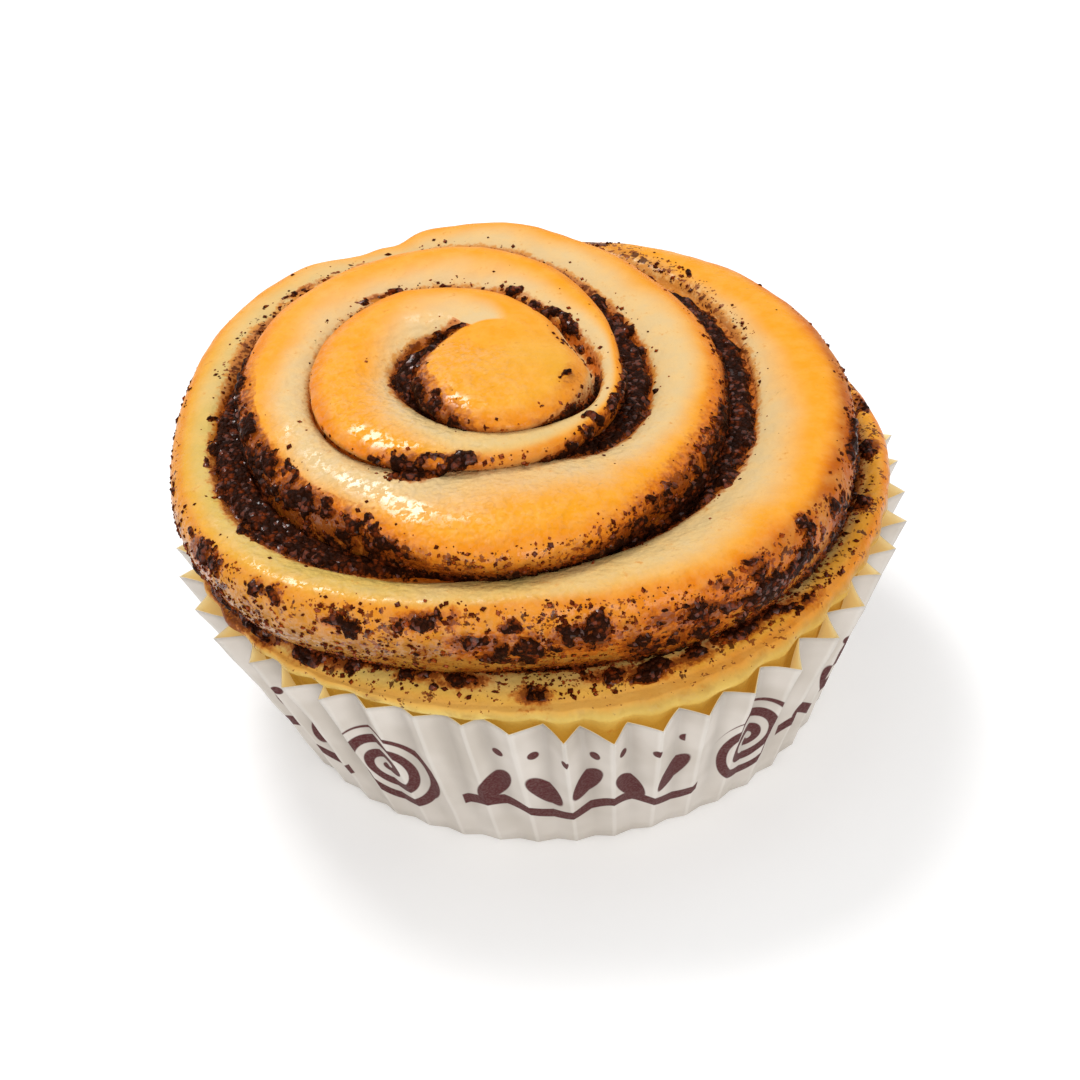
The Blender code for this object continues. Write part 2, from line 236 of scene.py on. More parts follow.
# %% [markdown]
# ## Unevenness
#
# Nothing baked is smooth. Two kinds of noise do the work: soft noise gives rolling lumps,
# and pebbles give round grains that touch. Both are worked out from whole-number cells
# by mixing their bits, so the same cell always gives the same number and the roll comes
# out the same each time. Blender has noise functions as well, but these work on a whole
# array of points at once, which is much faster for a fine mesh.

# %% Noise on arrays of points
CELL_PRIMES = (73856093, 19349663, 83492791)
MIXERS = ((15, 0x2C1B3C6D), (12, 0x297A2D39))
SEED_FACTOR, LAST_SHIFT = 2654435761, 15
WHOLE = 0xFFFFFFFF
LAYER_SEED, OWN_SEED = 17, 5


def cell_number(cells, seed):
    """A repeatable number from 0 to 1 for each cell."""
    mixed = np.full(cells.shape[:-1], seed * SEED_FACTOR & WHOLE, np.int64)
    for axis in range(cells.shape[-1]):
        mixed = (mixed ^ (cells[..., axis] * CELL_PRIMES[axis])) & WHOLE
        for shift, factor in MIXERS:
            mixed = ((mixed ^ (mixed >> shift)) * factor) & WHOLE
    return (mixed ^ (mixed >> LAST_SHIFT)) / WHOLE


def soft_noise(points, size, seed):
    """Rolling noise from -1 to 1 with lumps of about this size."""
    scaled = points / size
    cells = np.floor(scaled).astype(np.int64)
    share = ease(scaled - cells)
    total = 0.0
    for corner in product((0, 1), repeat=points.shape[-1]):
        weight = np.prod(np.where(corner, share, 1 - share), axis=-1)
        total = total + weight * cell_number(cells + np.array(corner), seed)
    return 2 * total - 1


def rough_noise(points, size, seed, layers=3):
    """Soft noise with finer layers on top, each half the size and half as strong."""
    total = 0.0
    for layer in range(layers):
        total = total + soft_noise(points, size / 2**layer, seed + LAYER_SEED * layer) / 2**layer
    return total / (2 - 2.0 ** (1 - layers))


def pebbles(points, size, seed):
    """Height of touching round grains, 0 to 1, and each grain's own number."""
    scaled = points / size
    cells = np.floor(scaled).astype(np.int64)
    nearest = np.full(points.shape[:-1], np.inf)
    number = np.zeros(points.shape[:-1])
    for step in product((-1, 0, 1), repeat=points.shape[-1]):
        cell = cells + np.array(step)
        jitter = [cell_number(cell, seed + axis) for axis in range(points.shape[-1])]
        away = np.sqrt(np.sum((cell + np.stack(jitter, axis=-1) - scaled) ** 2, axis=-1))
        closer = away < nearest
        nearest = np.where(closer, away, nearest)
        number = np.where(closer, cell_number(cell, seed + OWN_SEED), number)
    return np.sqrt(np.clip(1 - nearest**2, 0, 1)), number


print("number of the first cell:", cell_number(np.zeros((1, 3), np.int64), 1).round(4))

# %% [markdown]
# ## Pleats
#
# Both the paper and the dough that pressed into it need to know where the pleats are.
# There are 48 of them, but no two are alike: slow waves shift them round the rim, and
# each has a number of its own that changes its place and its reach a little. The rim also
# stands out where it was pulled, and some pleats were pressed flatter than others.

# %% Where the pleats are
FIRST_FOLD = 1.1
FOLD_WANDER = 1.1
FOLD_WAVES = ((3, 120.0, 1.0), (7, 0.0, 0.7))
FRONT_BULGE, RIGHT_BULGE = (288.0, 2.7, 20.0), (5.0, 0.7, 20.0)
SHALLOW_FOLDS = (249.0, 0.6, 14.0)
UNEVEN_PLACE, PLACE_SEED = 0.35, 51
UNEVEN_REACH, REACH_SEED = 0.16, 52


def swell(degrees, centre, size, spread):
    """A soft bump round the rim; its centre and spread are in degrees."""
    off = (degrees - centre + TURN / 2) % TURN - TURN / 2
    return size * np.exp(-((off / spread) ** 2))


def own_number(degrees, seed):
    """Each pleat's own number from -1 to 1, eased from one pleat to the next."""
    fold = degrees / TURN * FOLDS
    low = np.floor(fold).astype(np.int64)
    share = ease(fold - low)
    here = cell_number((low % FOLDS)[..., None], seed)
    there = cell_number(((low + 1) % FOLDS)[..., None], seed)
    return 2 * (here + (there - here) * share) - 1


def pleat_shift(degrees):
    """Degrees by which a pleat is out of its even place at the rim."""
    waves = sum(size * np.sin(np.radians(n * degrees + start)) for n, start, size in FOLD_WAVES)
    return FOLD_WANDER * waves + UNEVEN_PLACE * own_number(degrees, PLACE_SEED)


def pleat_size(degrees, level):
    """How far a pleat reaches, as a share of the even reach."""
    flattened = 1 - swell(degrees, *SHALLOW_FOLDS) * level
    return flattened * (1 + UNEVEN_REACH * own_number(degrees, REACH_SEED))


print("pleat shifts up to", np.abs(pleat_shift(np.arange(TURN))).max().round(2), "degrees")

# %% [markdown]
# ## One mesh helper
#
# Every piece here is worked out as a numpy array of points and an array of four-cornered
# faces. The helper joins points that fall on each other, drops faces that collapse, and
# stores extra values on the points. A material reads those values by name, so the
# shape's own measures can steer its colours.

# %% From arrays to an object
JOIN_DISTANCE = 0.002


def new_object(name, points, faces, values=None, join=True):
    """Object from points in millimetres, faces of four corners, and point values."""
    points = np.asarray(points, float).reshape(-1, 3)
    faces = np.asarray(faces, int).reshape(-1, 4)
    source = np.arange(len(points))
    if join:
        cells = np.round(points / JOIN_DISTANCE).astype(np.int64)
        _, source, joined = np.unique(cells, axis=0, return_index=True, return_inverse=True)
        faces = joined.reshape(-1)[faces]
        points = points[source]
    corners = []
    for face in faces.tolist():
        kept = [corner for i, corner in enumerate(face) if corner != face[i - 1]]
        if len(kept) > 2 and len(set(kept)) == len(kept):
            corners.append(kept)
    mesh = bpy.data.meshes.new(name)
    mesh.from_pydata((points * MM).tolist(), [], corners)
    for key, value in (values or {}).items():
        layer = mesh.attributes.new(key, "FLOAT", "POINT")
        layer.data.foreach_set("value", np.asarray(value, np.float32).reshape(-1)[source])
    mesh.shade_smooth()
    obj = bpy.data.objects.new(name, mesh)
    SCENE.collection.objects.link(obj)
    return obj


def grid_faces(columns, rows, first=0):
    """Faces of a grid whose points are numbered column by column."""
    i, j = np.meshgrid(np.arange(columns - 1), np.arange(rows - 1), indexing="ij")
    a = first + (i * rows + j).ravel()
    return np.stack([a, a + 1, a + rows + 1, a + rows], axis=-1)


print("mesh helper ready")

# %% [markdown]
# ## The section of the strip
#
# Cut across, the strip is always the same kind of shape: it comes up out of the crease
# beside the turn before it, rounds over onto its top, rises to the crown, turns down a
# bulging wall and dives into the next crease. It could be an extruded curve, but the
# section changes all along the strip. So two cubic curves draw it for every angle, with
# one direction at the crown where they meet, and a third rounds the ledge. Where filling
# shows, the crease is a shallow open trough; elsewhere it's a deep slit that hardly opens.

# %% Curves across the strip
# From TUCK on no turn lies outside the strip, so that its wall goes down into the case.
TUCK, TUCK_LENGTH = 1490.0, 14.0
CORE_RADIUS, CORE_TOP = 4.0, 56.8
NARROW_GAP, OPEN_GAP, CLOSING, CLOSED_GAP = 1.4, 3.0, 1.25, 0.1
SLIT_DEPTH, TROUGH_DEPTH = 2.6, 0.9
FOOT_DROP_SHARE, FOOT_DROP_LIMIT = 0.3, 0.8
FLOOR = 0.85


def cubic(a, b, c, d, t):
    """Cubic curve of every column: corners are (columns, 2), t is (columns, steps)."""
    a, b, c, d = (corner[:, None, :] for corner in (a, b, c, d))
    t = np.asarray(t)[..., None]
    s = 1 - t
    return s**3 * a + 3 * s * s * t * b + 3 * s * t * t * c + t**3 * d


def opening(winding):
    """0 at the tip of the slit, and 1 a little further on."""
    return blend(winding, SLIT, SLIT + TABLE_STEP / 2)


def facing_case(winding):
    return blend(winding, TUCK, TUCK + TUCK_LENGTH)


def filling_gap(winding):
    return np.maximum(along(FILLING_WIDTH, winding), NARROW_GAP * opening(winding))


def crease_width(winding):
    """Gap between two turns at the ledge, closed up where no filling shows."""
    gap = filling_gap(winding)
    closed = gap - CLOSING * (1 - blend(gap, NARROW_GAP, OPEN_GAP))
    return np.maximum(closed, CLOSED_GAP * opening(winding))


def ledge(winding):
    return stacked(along(LEDGE_RADIUS, winding), along(LEDGE_HEIGHT, winding))


def crown(winding):
    return stacked(along(CROWN_RADIUS, winding), along(CROWN_HEIGHT, winding))


def foot(winding):
    """Foot of the outer wall, beside the ledge or on the case."""
    edge = ledge(winding)
    at_case = facing_case(winding)
    gap = filling_gap(winding)
    inner = edge[:, 0] - crease_width(winding)
    radius = inner + (reach_to_case(winding) - inner) * at_case
    height = edge[:, 1] - np.minimum(FOOT_DROP_SHARE * gap, FOOT_DROP_LIMIT)
    return stacked(radius, height + (CASE_HEIGHT - height) * at_case)


def crease(winding):
    """Bottom of the crease, or of the side that faces the case."""
    edge = ledge(winding)
    at_case = facing_case(winding)
    wide = blend(crease_width(winding), NARROW_GAP, OPEN_GAP)
    depth = (SLIT_DEPTH + (TROUGH_DEPTH - SLIT_DEPTH) * wide) * opening(winding)
    radius = edge[:, 0] - crease_width(winding) / 2
    height = edge[:, 1] - depth
    radius = radius + (reach_to_case(winding) - radius) * at_case
    return stacked(radius, height + (FLOOR - height) * at_case)


print("crown of the third turn in front:", crown(FRONT_OF_THIRD).round(1), "mm")

# %% [markdown]
# A section is then put together from its parts: the bottom of the crease before, the
# round of the ledge, the top up to the crown, the wall down to its foot, and the bottom
# of the next crease. The function does it for many winding angles at once.

# %% One section
FILLET_STEPS, TOP_STEPS, WALL_STEPS = 3, 25, 18
LEDGE_ROUND, LONGEST_START, FILLET_DROP = 1.1, 0.3, 0.6
SHOULDER, SHOULDER_SHARE, SHOULDER_LIMIT = math.radians(36.0), 0.34, 4.2
RISE_SHARE, RISE_LIMIT, RISE_RUN = 0.18, 1.8, 0.3
CORE_FLATNESS, CORE_FADE = 0.9, 90.0
WALL_SHARE, SLOPE_SHARE = 0.24, 0.3
FOOT_BULGE, FOOT_LIFT, UNDERCUT_HALF = 0.1, 0.42, 4.0


def section(winding):
    """Points (radius, height) from crease to crease."""
    before = np.maximum(winding - TURN, SLIT)
    on_core = winding <= SLIT + TURN
    ring = np.array((CORE_RADIUS, along(CROWN_HEIGHT, SLIT)))
    inner = np.where(on_core[:, None], ring, ledge(before))
    bottom = np.where(on_core[:, None], ring, crease(before))
    outer = crown(winding)
    width = outer[:, 0] - inner[:, 0]
    core_share = 1 - blend(winding, SLIT + TURN, SLIT + TURN + CORE_FADE)
    rise = np.minimum(RISE_SHARE * width, RISE_LIMIT) * (1 - CORE_FLATNESS * core_share)
    near = stacked(inner[:, 0] + RISE_RUN * width, inner[:, 1] + rise)
    turn_down = np.array((math.cos(SHOULDER), -math.sin(SHOULDER)))
    reach = np.minimum(SHOULDER_SHARE * width, SHOULDER_LIMIT)[:, None]
    top = (inner, near, outer - reach * turn_down, outer)

    rounding = LEDGE_ROUND * np.where(on_core, 0.0, opening(before))
    start = np.clip(rounding / np.maximum(width, 1.0) / (3 * RISE_RUN), 0, LONGEST_START)
    first = cubic(*top, start[:, None])
    low = inner - stacked(0.0, np.minimum(rounding, (inner - bottom)[:, 1] * FILLET_DROP))
    steps = np.linspace(0, 1, FILLET_STEPS + 1)[None, :-1] + 0 * start[:, None]
    start_top = first[:, 0]
    near_top = start_top + (inner - start_top) * 2 / 3
    fillet = cubic(low, low + (inner - low) * 2 / 3, near_top, start_top, steps)
    t_top = start[:, None] + (1 - start[:, None]) * np.linspace(0, 1, TOP_STEPS)[None, :]

    base = foot(winding)
    drop = outer[:, 1] - base[:, 1]
    undercut = np.maximum(outer[:, 0] - base[:, 0], 0)
    slope_out = np.maximum(base[:, 0] - outer[:, 0], 0)
    reach = (WALL_SHARE * drop + SLOPE_SHARE * slope_out)[:, None]
    lift = FOOT_LIFT * drop / (1 + undercut / UNDERCUT_HALF)
    low_bend = base + stacked(FOOT_BULGE * drop + undercut, lift)
    t_wall = np.linspace(0, 1, WALL_STEPS + 1)[None, 1:] + 0 * drop[:, None]
    wall = cubic(outer, outer + reach * turn_down, low_bend, base, t_wall)

    end = crease(winding)
    middle = (base + end) / 2
    rows = [bottom[:, None], fillet, cubic(*top, t_top), wall, middle[:, None], end[:, None]]
    return np.concatenate(rows, axis=1)


print("rows across the strip:", section(np.array([600.0])).shape[1])

# %% [markdown]
# ## The skin of the dough
#
# One grid of points covers the whole strip, a column every 1.2 degrees. Turns share the
# points at the bottom of the crease between them, so the roll is a single closed skin,
# as it is once baked. The tip of the tail tapers, and soft lumps push every point in or
# out along its normal. They fade out at the creases so that neighbours stay joined.

# %% Points of the dough
COLUMN_STEP = 1.2
PER_TURN = round(TURN / COLUMN_STEP)
TOP_START = 1 + FILLET_STEPS
CROWN_ROW = TOP_START + TOP_STEPS - 1
FOOT_ROW = CROWN_ROW + WALL_STEPS
TIP_LENGTH = 12.0

windings = SLIT + COLUMN_STEP * np.arange(round((TAIL - SLIT) / COLUMN_STEP) + 1)
profile = section(windings)
tip_share = np.clip((windings - (TAIL - TIP_LENGTH)) / TIP_LENGTH, 0, 1)
thickness_left = np.sqrt(1 - tip_share**2)[:, None]
tip_radius, tip_height = profile[:, 1, 0, None], profile[:, 1, 1, None]
profile[:, 1:, 0] = tip_radius + (profile[:, 1:, 0] - tip_radius) * thickness_left
above = np.maximum(profile[:, 1:, 1] - tip_height, 0)
profile[:, 1:, 1] -= above * (1 - thickness_left)
dough = place(windings[:, None], profile[:, :, 0], profile[:, :, 1])
columns, rows = dough.shape[:2]


def grid_normals(grid):
    """Unit normals of a grid of points, facing out of the roll."""
    across = np.gradient(grid, axis=1)
    forward = np.gradient(grid, axis=0)
    normal = np.cross(across, forward)
    length = np.linalg.norm(normal, axis=-1, keepdims=True)
    return np.where(length > SHORTEST, normal / np.maximum(length, TINY), (0.0, 0.0, 1.0))


def distance_along(lines):
    """Distance of each point of a line from the line's start."""
    steps = np.linalg.norm(np.diff(lines, axis=1), axis=-1)
    return np.concatenate([np.zeros((len(lines), 1)), np.cumsum(steps, axis=1)], axis=1)


def share_crease_normals(normal):
    """Gives both sides of a crease's bottom the same normal."""
    both = normal[:-PER_TURN, -1] + normal[PER_TURN:, 0]
    both /= np.linalg.norm(both, axis=-1, keepdims=True) + TINY
    normal[:-PER_TURN, -1] = both
    normal[PER_TURN:, 0] = both
    return normal


normals = share_crease_normals(grid_normals(dough))
from_inner = distance_along(dough)
to_outer = from_inner[:, -1:] - from_inner
print("strip grid:", columns, "x", rows)

# %% [markdown]
# Three things move the skin off its smooth curves. Soft lumps swell it a little
# everywhere, a dent at the back left is where a turn sagged, and below the rim the soft
# dough was pressed into the pleats of the paper, so it takes over their waves. In
# Blender's own tools this would be a sculpt or a displace modifier; here each point gets
# its push along the normal from a function, which can be read and changed. A noise is
# given by its size in millimetres and its seed, and some by how many layers it has too.

# %% Lumps in the crust
LUMP_NOISE, LUMP_HEIGHT, LUMP_FADE = (13.0, 3), 0.55, (0.0, 2.2)
RIPPLE_NOISE, RIPPLE_HEIGHT = (3.5, 4), 0.13
DENTS, DENT_FADE = ((1197.0, 1.3, 7.0), (1189.0, 0.9, 3.5)), (1.0, 7.0)
PLEAT_FILL, FILL_AT_RIM, PLEAT_FADE = 0.8, 0.3, (21.0, 27.5)
PRESSED_OUT, PRESSED_FROM, BULGE_FADE = 0.4, (8.0, 24.0), (28.5, 33.5)
FAR_FROM_CASE, NEAR_CASE = 1.5, 0.5
CORE_RINGS = 5


def lumps(points):
    """Millimetres that a lump pushes the crust out."""
    coarse = LUMP_HEIGHT * rough_noise(points, *LUMP_NOISE)
    return coarse + RIPPLE_HEIGHT * rough_noise(points, *RIPPLE_NOISE)


def dents(winding):
    """Millimetres that the turn is pushed in at a few places along the strip."""
    total = 0.0
    for centre, depth, spread in DENTS:
        total = total + depth * np.exp(-(((winding - centre) / spread) ** 2))
    return total


def press_into_pleats(points):
    """Pushes the side that faces the case out into its pleats."""
    z = points[..., 2]
    level = np.clip(z / CASE_HEIGHT, 0, 1)
    lean = CASE_LEAN * level
    x, y = points[..., 0] - lean, points[..., 1]
    radius = np.hypot(x, y)
    degrees = (np.degrees(np.arctan2(y, x)) - FIRST_FOLD) % TURN
    degrees = (degrees - pleat_shift(degrees) * level) % TURN
    wave = 1 + np.cos(np.radians(degrees * FOLDS))
    push = PLEAT_FILL * fold_reach(level * CASE_HEIGHT) * wave * pleat_size(degrees, level)
    push = push * (1 - (1 - FILL_AT_RIM) * blend(z, *PLEAT_FADE))
    push = push + PRESSED_OUT * blend(z, *PRESSED_FROM) + swell(degrees, *FRONT_BULGE) * level
    push = push * (1 - blend(z, *BULGE_FADE))
    room = room_in_case(level * CASE_HEIGHT)
    at_paper = blend(radius, room - FAR_FROM_CASE, room - NEAR_CASE)
    grown = (radius + push * at_paper) / np.maximum(radius, SHORTEST)
    return stacked(x * grown + lean, y * grown, z)


from_crease = np.minimum(from_inner, to_outer)
push = lumps(dough) * blend(from_crease, *LUMP_FADE)
push = push - dents(windings)[:, None] * blend(from_crease, *DENT_FADE)
dough = dough + normals * push[..., None]
at_case = facing_case(windings)[:, None]
low_side = (at_case * (np.arange(rows) > CROWN_ROW))[..., None]
dough = dough + (press_into_pleats(dough) - dough) * low_side
normals = share_crease_normals(grid_normals(dough))

core_rings = np.linspace(0.0, CORE_RADIUS, CORE_RINGS)
core_height = CORE_TOP + (along(CROWN_HEIGHT, SLIT) - CORE_TOP) * (core_rings / CORE_RADIUS) ** 2
core = place(windings[:PER_TURN + 1, None], core_rings[None, :], core_height[None, :])
core[..., 2] += lumps(core) * blend(CORE_RADIUS - core_rings, *LUMP_FADE)
print("dough is", np.round(np.ptp(dough.reshape(-1, 3), axis=0), 1), "mm")

# %% [markdown]
# ## Where the filling lies
#
# The filling squeezed out while the roll baked. It fills the open troughs, climbs the
# walls of the turns and runs a little onto the next ledge, and its edge is ragged. Two
# tables say how far it spreads past a wall's foot and past the ledge, at every 22.5
# degrees; where it stops short of them the number is negative. The larger smears are
# placed one by one, because the eye finds them at once in the real roll.

# %% How far the filling spreads
EDGE_STEP = 22.5
SPREAD_ON_WALL = turns(
    (0.5, 2.4, 4.0, 4.4, 4.2, 3.8, 0.6, 0.8, 0.6, -1.8, -3.0, -3.2, -3.2, -3.0, -2.4, -2.0),
    (-1.5, -2.0, -2.2, -2.0, -1.2, 3.4, -0.6, 4.4, 4.6, 4.0, 3.0, 2.0, 1.2, 0.6, -0.5, -1.0),
    (-0.5, 2.0, 5.5, 6.5, 6.3, 5.6, 3.8, 4.6, 5.4, 5.0, 4.0, 2.0, 1.0, 0.3, -0.5, -1.0),
    (0.3, 0.5, 1.4, 2.2, 1.8, 1.0, 1.4, 2.2, 3.5, 4.5, 4.0, 2.0, 0.5, 0.0, 0.0, 0.0),
)
SPREAD_ON_LEDGE = turns(
    (0.0, -0.8, -1.2, -1.4, -1.4, -1.2, -2.2, -1.2, -1.6, -1.6, -1.5, -1.4, -1.4, -1.0, -1.0, -1.2),
    (-1.5, -2.0, -2.4, -2.0, -1.5, 1.2, -1.8, 0.8, 0.2, -0.6, -0.8, -0.4, 0.0, -0.5, -1.2, -1.6),
    (-1.8, -1.6, -0.6, 0.2, 0.2, -2.2, -2.4, -0.4, -0.2, 0.2, -1.2, -1.8, -2.2, -2.4, -2.4, -2.2),
    (0.0, 0.0, 1.6, 2.2, 1.6, 0.6, 0.3, 0.5, 0.5, 0.6, 1.0, 1.0, 0.6, 0.0, 0.0, 0.0),
)
FLECKS_ON_WALL = turns(
    (0.1, 0.2, 0.2, 0.1, 0.1, 0.1, 0.1, 0.1),
    (0.0, 0.1, 0.2, 0.2, 0.3, 0.2, 0.1, 0.1),
    (0.0, 0.4, 0.7, 0.6, 0.6, 0.5, 0.3, 0.0),
    (0.0, 0.7, 1.1, 0.9, 1.0, 0.8, 0.0, 0.0),
)
FLECKS_ON_LEDGE = turns(
    (0.1, 0.3, 0.0, 0.0, 0.0, 0.1, 0.6, 0.5),
    (0.1, 0.0, 0.0, 0.0, 0.0, 0.0, 0.1, 0.1),
    (0.6, 0.1, 0.0, 0.0, 0.0, 0.2, 1.0, 0.8),
    (0.1, 0.5, 0.6, 0.8, 0.8, 0.8, 1.0, 0.3),
)

# Larger smears: winding, distance from the crease (minus is up the wall), half length
# along the strip, half width across it, all but the first in millimetres.
SMEARS = (
    (316, -6.8, 1.2, 0.8), (392, 2.9, 1.6, 0.7), (419, 3.2, 1.6, 0.7), (438, 4.2, 1.2, 0.5),
    (601, -6.2, 1.2, 0.8), (605, -5.0, 3.8, 2.5), (606, 4.8, 2.4, 1.8), (619, -7.7, 1.9, 0.9),
    (968, -6.5, 1.8, 1.4), (1294, 6.0, 3.0, 1.3), (1305, 4.6, 1.0, 0.6), (1313, 4.3, 2.4, 0.9),
    (1319, 3.9, 2.0, 0.8), (1323, 2.8, 1.2, 0.8), (1335, 4.0, 3.0, 1.0), (1341, 4.9, 2.8, 1.0),
    (1353, 7.4, 1.8, 1.1), (1366, 5.8, 2.6, 0.9), (1372, 6.6, 2.6, 1.1), (1379, 6.5, 1.8, 0.8),
    (1388, 5.4, 3.4, 1.1), (1397, 5.8, 1.8, 0.8), (1401, 7.0, 1.4, 0.6), (1425, 5.2, 1.2, 0.9),
    (1439, 5.2, 1.3, 1.2), (1451, 6.2, 1.5, 1.0), (1293, -14.6, 2.4, 2.0),
    (1298, -15.8, 1.4, 0.9), (1308, -16.1, 0.7, 0.8), (1312, -16.1, 0.9, 1.1),
    (1323, -14.3, 1.5, 0.7), (1336, -15.2, 2.6, 1.1), (1341, -15.5, 0.7, 1.3),
    (1343, -11.6, 1.4, 1.4), (1347, -11.0, 1.5, 2.2), (1350, -13.7, 1.0, 1.0),
    (1353, -10.1, 1.4, 2.5), (1362, -11.3, 3.4, 2.1), (1364, -14.3, 1.0, 1.0),
    (1371, -8.9, 2.7, 2.0), (1374, -13.1, 1.5, 0.9), (1379, -8.9, 3.6, 1.8),
    (1381, -12.2, 3.9, 1.6), (1384, -15.2, 1.3, 0.8), (1390, -15.8, 1.3, 0.9),
    (1392, -11.3, 3.2, 1.8), (1400, -12.2, 2.8, 1.7), (1402, -16.1, 1.2, 1.2),
    (1411, -11.0, 2.0, 2.3), (1427, -13.1, 3.5, 1.0), (1289, 4.4, 3.0, 1.0),
    (1296, 4.5, 3.2, 1.2), (1303, 4.3, 2.6, 1.1), (1290, -8.7, 2.4, 0.7), (1298, -8.5, 2.2, 0.7),
    (488, 4.4, 0.3, 0.2), (494, 4.4, 0.6, 0.3), (840, 7.4, 0.6, 0.4), (856, 6.4, 1.2, 0.3),
)
print("smears placed by hand:", len(SMEARS))

# %% [markdown]
# From the tables comes one number for every place on the skin: how many millimetres it
# lies inside the filling's edge. First the edge is smooth; then noise frays it, opens
# holes in it and scatters flecks outside it.

# %% How far inside the filling
SMEAR_STRENGTH = 1.5
DEEPEST, DEEPEST_ON_WALL, DEEPEST_SMEAR = 2.2, 0.3, 0.75
UP_WALL, PAST_LEDGE = (1.0, 3.5), (1.5, 3.0)
COARSE_NOISE, FINE_NOISE, FINE_SHARE = (3.2, 21), (1.3, 22), 1.2
RAGGED_UP_WALL, RAGGED_ON_LEDGE = 1.2, 0.7
HOLE_NOISE, HOLE_FROM, HOLE_DEPTH, HOLES_ON_LEDGE = (2.4, 27, 2), (0.12, 0.45), 3.0, 0.5
FLECK_NOISE, CLUSTER_NOISE, CLUSTER_SHARE = (1.9, 24, 2), (6.0, 25, 2), 0.35
FLECK_THRESHOLD, FLECK_RARITY, FLECK_DEPTH = 0.62, 0.8, 3.2
FLECKS_TO_CROWN, FLECKS_ON_SHELF = (-0.5, 1.2), (5.0, 7.5)


def edge_of_crease(winding, side):
    """Distance along the crust from a crease's bottom to the wall's foot or the ledge."""
    column = np.clip((np.asarray(winding) - SLIT) / COLUMN_STEP, 0, columns - 1 - PER_TURN)
    up_wall, to_ledge = to_outer[:-PER_TURN, FOOT_ROW], from_inner[PER_TURN:, TOP_START - 1]
    return np.interp(column, np.arange(columns - PER_TURN), up_wall if side < 0 else to_ledge)


def past_crown(winding, s):
    """Distance past the crown of the wall, going up the wall from the crease."""
    return -s - np.interp(winding, windings, to_outer[:, CROWN_ROW])


def inside_smooth(winding, s):
    """Millimetres inside the filling's edge before it's made ragged; s is minus up the wall."""
    on_wall = edge_of_crease(winding, -1) + along(SPREAD_ON_WALL, winding, EDGE_STEP)
    on_next = edge_of_crease(winding, 1) + along(SPREAD_ON_LEDGE, winding, EDGE_STEP)
    inside = np.minimum(s + on_wall, on_next - s)
    inside = np.minimum(inside, DEEPEST + (DEEPEST_ON_WALL - DEEPEST) * blend(-s, *UP_WALL))
    for centre, across, half_length, half_width in SMEARS:
        along_strip = np.radians(winding - centre) * along(CROWN_RADIUS, centre)
        away = np.hypot(along_strip / half_length, (s - across) / half_width)
        smear = np.minimum((1 - away) * half_width * SMEAR_STRENGTH, DEEPEST_SMEAR)
        inside = np.maximum(inside, smear)
    return inside


def inside_filling(winding, s, points):
    """Millimetres inside the filling's ragged edge."""
    up_wall, on_ledge = blend(-s, *UP_WALL), blend(s, *PAST_LEDGE)
    ragged = rough_noise(points, *COARSE_NOISE) + FINE_SHARE * rough_noise(points, *FINE_NOISE)
    ragged = ragged * (1 + RAGGED_UP_WALL * up_wall + RAGGED_ON_LEDGE * on_ledge)
    holes = blend(rough_noise(points, *HOLE_NOISE), *HOLE_FROM)
    holes = HOLE_DEPTH * holes * (up_wall + HOLES_ON_LEDGE * on_ledge)
    share = np.where(s < 0, along(FLECKS_ON_WALL, winding), along(FLECKS_ON_LEDGE, winding))
    share = share * (1 - blend(past_crown(winding, s), *FLECKS_TO_CROWN))
    share = share * np.where(s < 0, 1, 1 - blend(s, *FLECKS_ON_SHELF))
    clusters = CLUSTER_SHARE * rough_noise(points, *CLUSTER_NOISE)
    flecks = rough_noise(points, *FLECK_NOISE) + clusters - FLECK_THRESHOLD
    flecks = flecks - FLECK_RARITY * (1 - np.clip(share, 0, 1))
    return np.maximum(inside_smooth(winding, s) + ragged - holes, flecks * FLECK_DEPTH)


spread_in_front = along(SPREAD_ON_WALL, FRONT_OF_THIRD, EDGE_STEP)
print("filling up the third turn's wall in front:", spread_in_front.round(1), "mm")

# %% [markdown]
# ## The filling as relief
#
# The filling shows as a crust of clumps on the dough, so it's made as a fine sheet that
# follows the dough's skin and stands off it: thick in the troughs, thin at its ragged
# edge, and pitted with grains. The sheet is sampled from the dough's own grid on both
# sides of a crease, and only its faces above the dough are kept.

# %% Sample the skin beside the creases
GRAIN_STEP, SMALLEST_RADIUS = 0.3, 5.0
SEAM_FROM, SEAM_TO = SLIT + 6.0, TAIL - TURN - 2.5
WALL_REACH, LEDGE_REACH = 17.6, 9.0
TOP_ROW_KEPT, LEDGE_ROW_KEPT = TOP_START + 6, TOP_START + 23

seam_list = [SEAM_FROM]
while seam_list[-1] < SEAM_TO:
    radius_here = max(float(along(CROWN_RADIUS, seam_list[-1])), SMALLEST_RADIUS)
    seam_list.append(seam_list[-1] + math.degrees(GRAIN_STEP / radius_here))
seam = np.array(seam_list)
s_steps = np.arange(-WALL_REACH, LEDGE_REACH, GRAIN_STEP)


def beside_crease(grid):
    """Rows of a dough grid on both sides of the crease, in order across it."""
    column = (seam - SLIT) / COLUMN_STEP
    low = np.floor(column).astype(int)
    share = (column - low)[:, None, None]
    near = grid[low] * (1 - share) + grid[low + 1] * share
    far = grid[low + PER_TURN] * (1 - share) + grid[low + PER_TURN + 1] * share
    return np.concatenate([near[:, TOP_ROW_KEPT:], far[:, 1:LEDGE_ROW_KEPT]], axis=1)


line = beside_crease(dough)
line_s = distance_along(line)
line_s -= line_s[:, rows - 1 - TOP_ROW_KEPT, None]


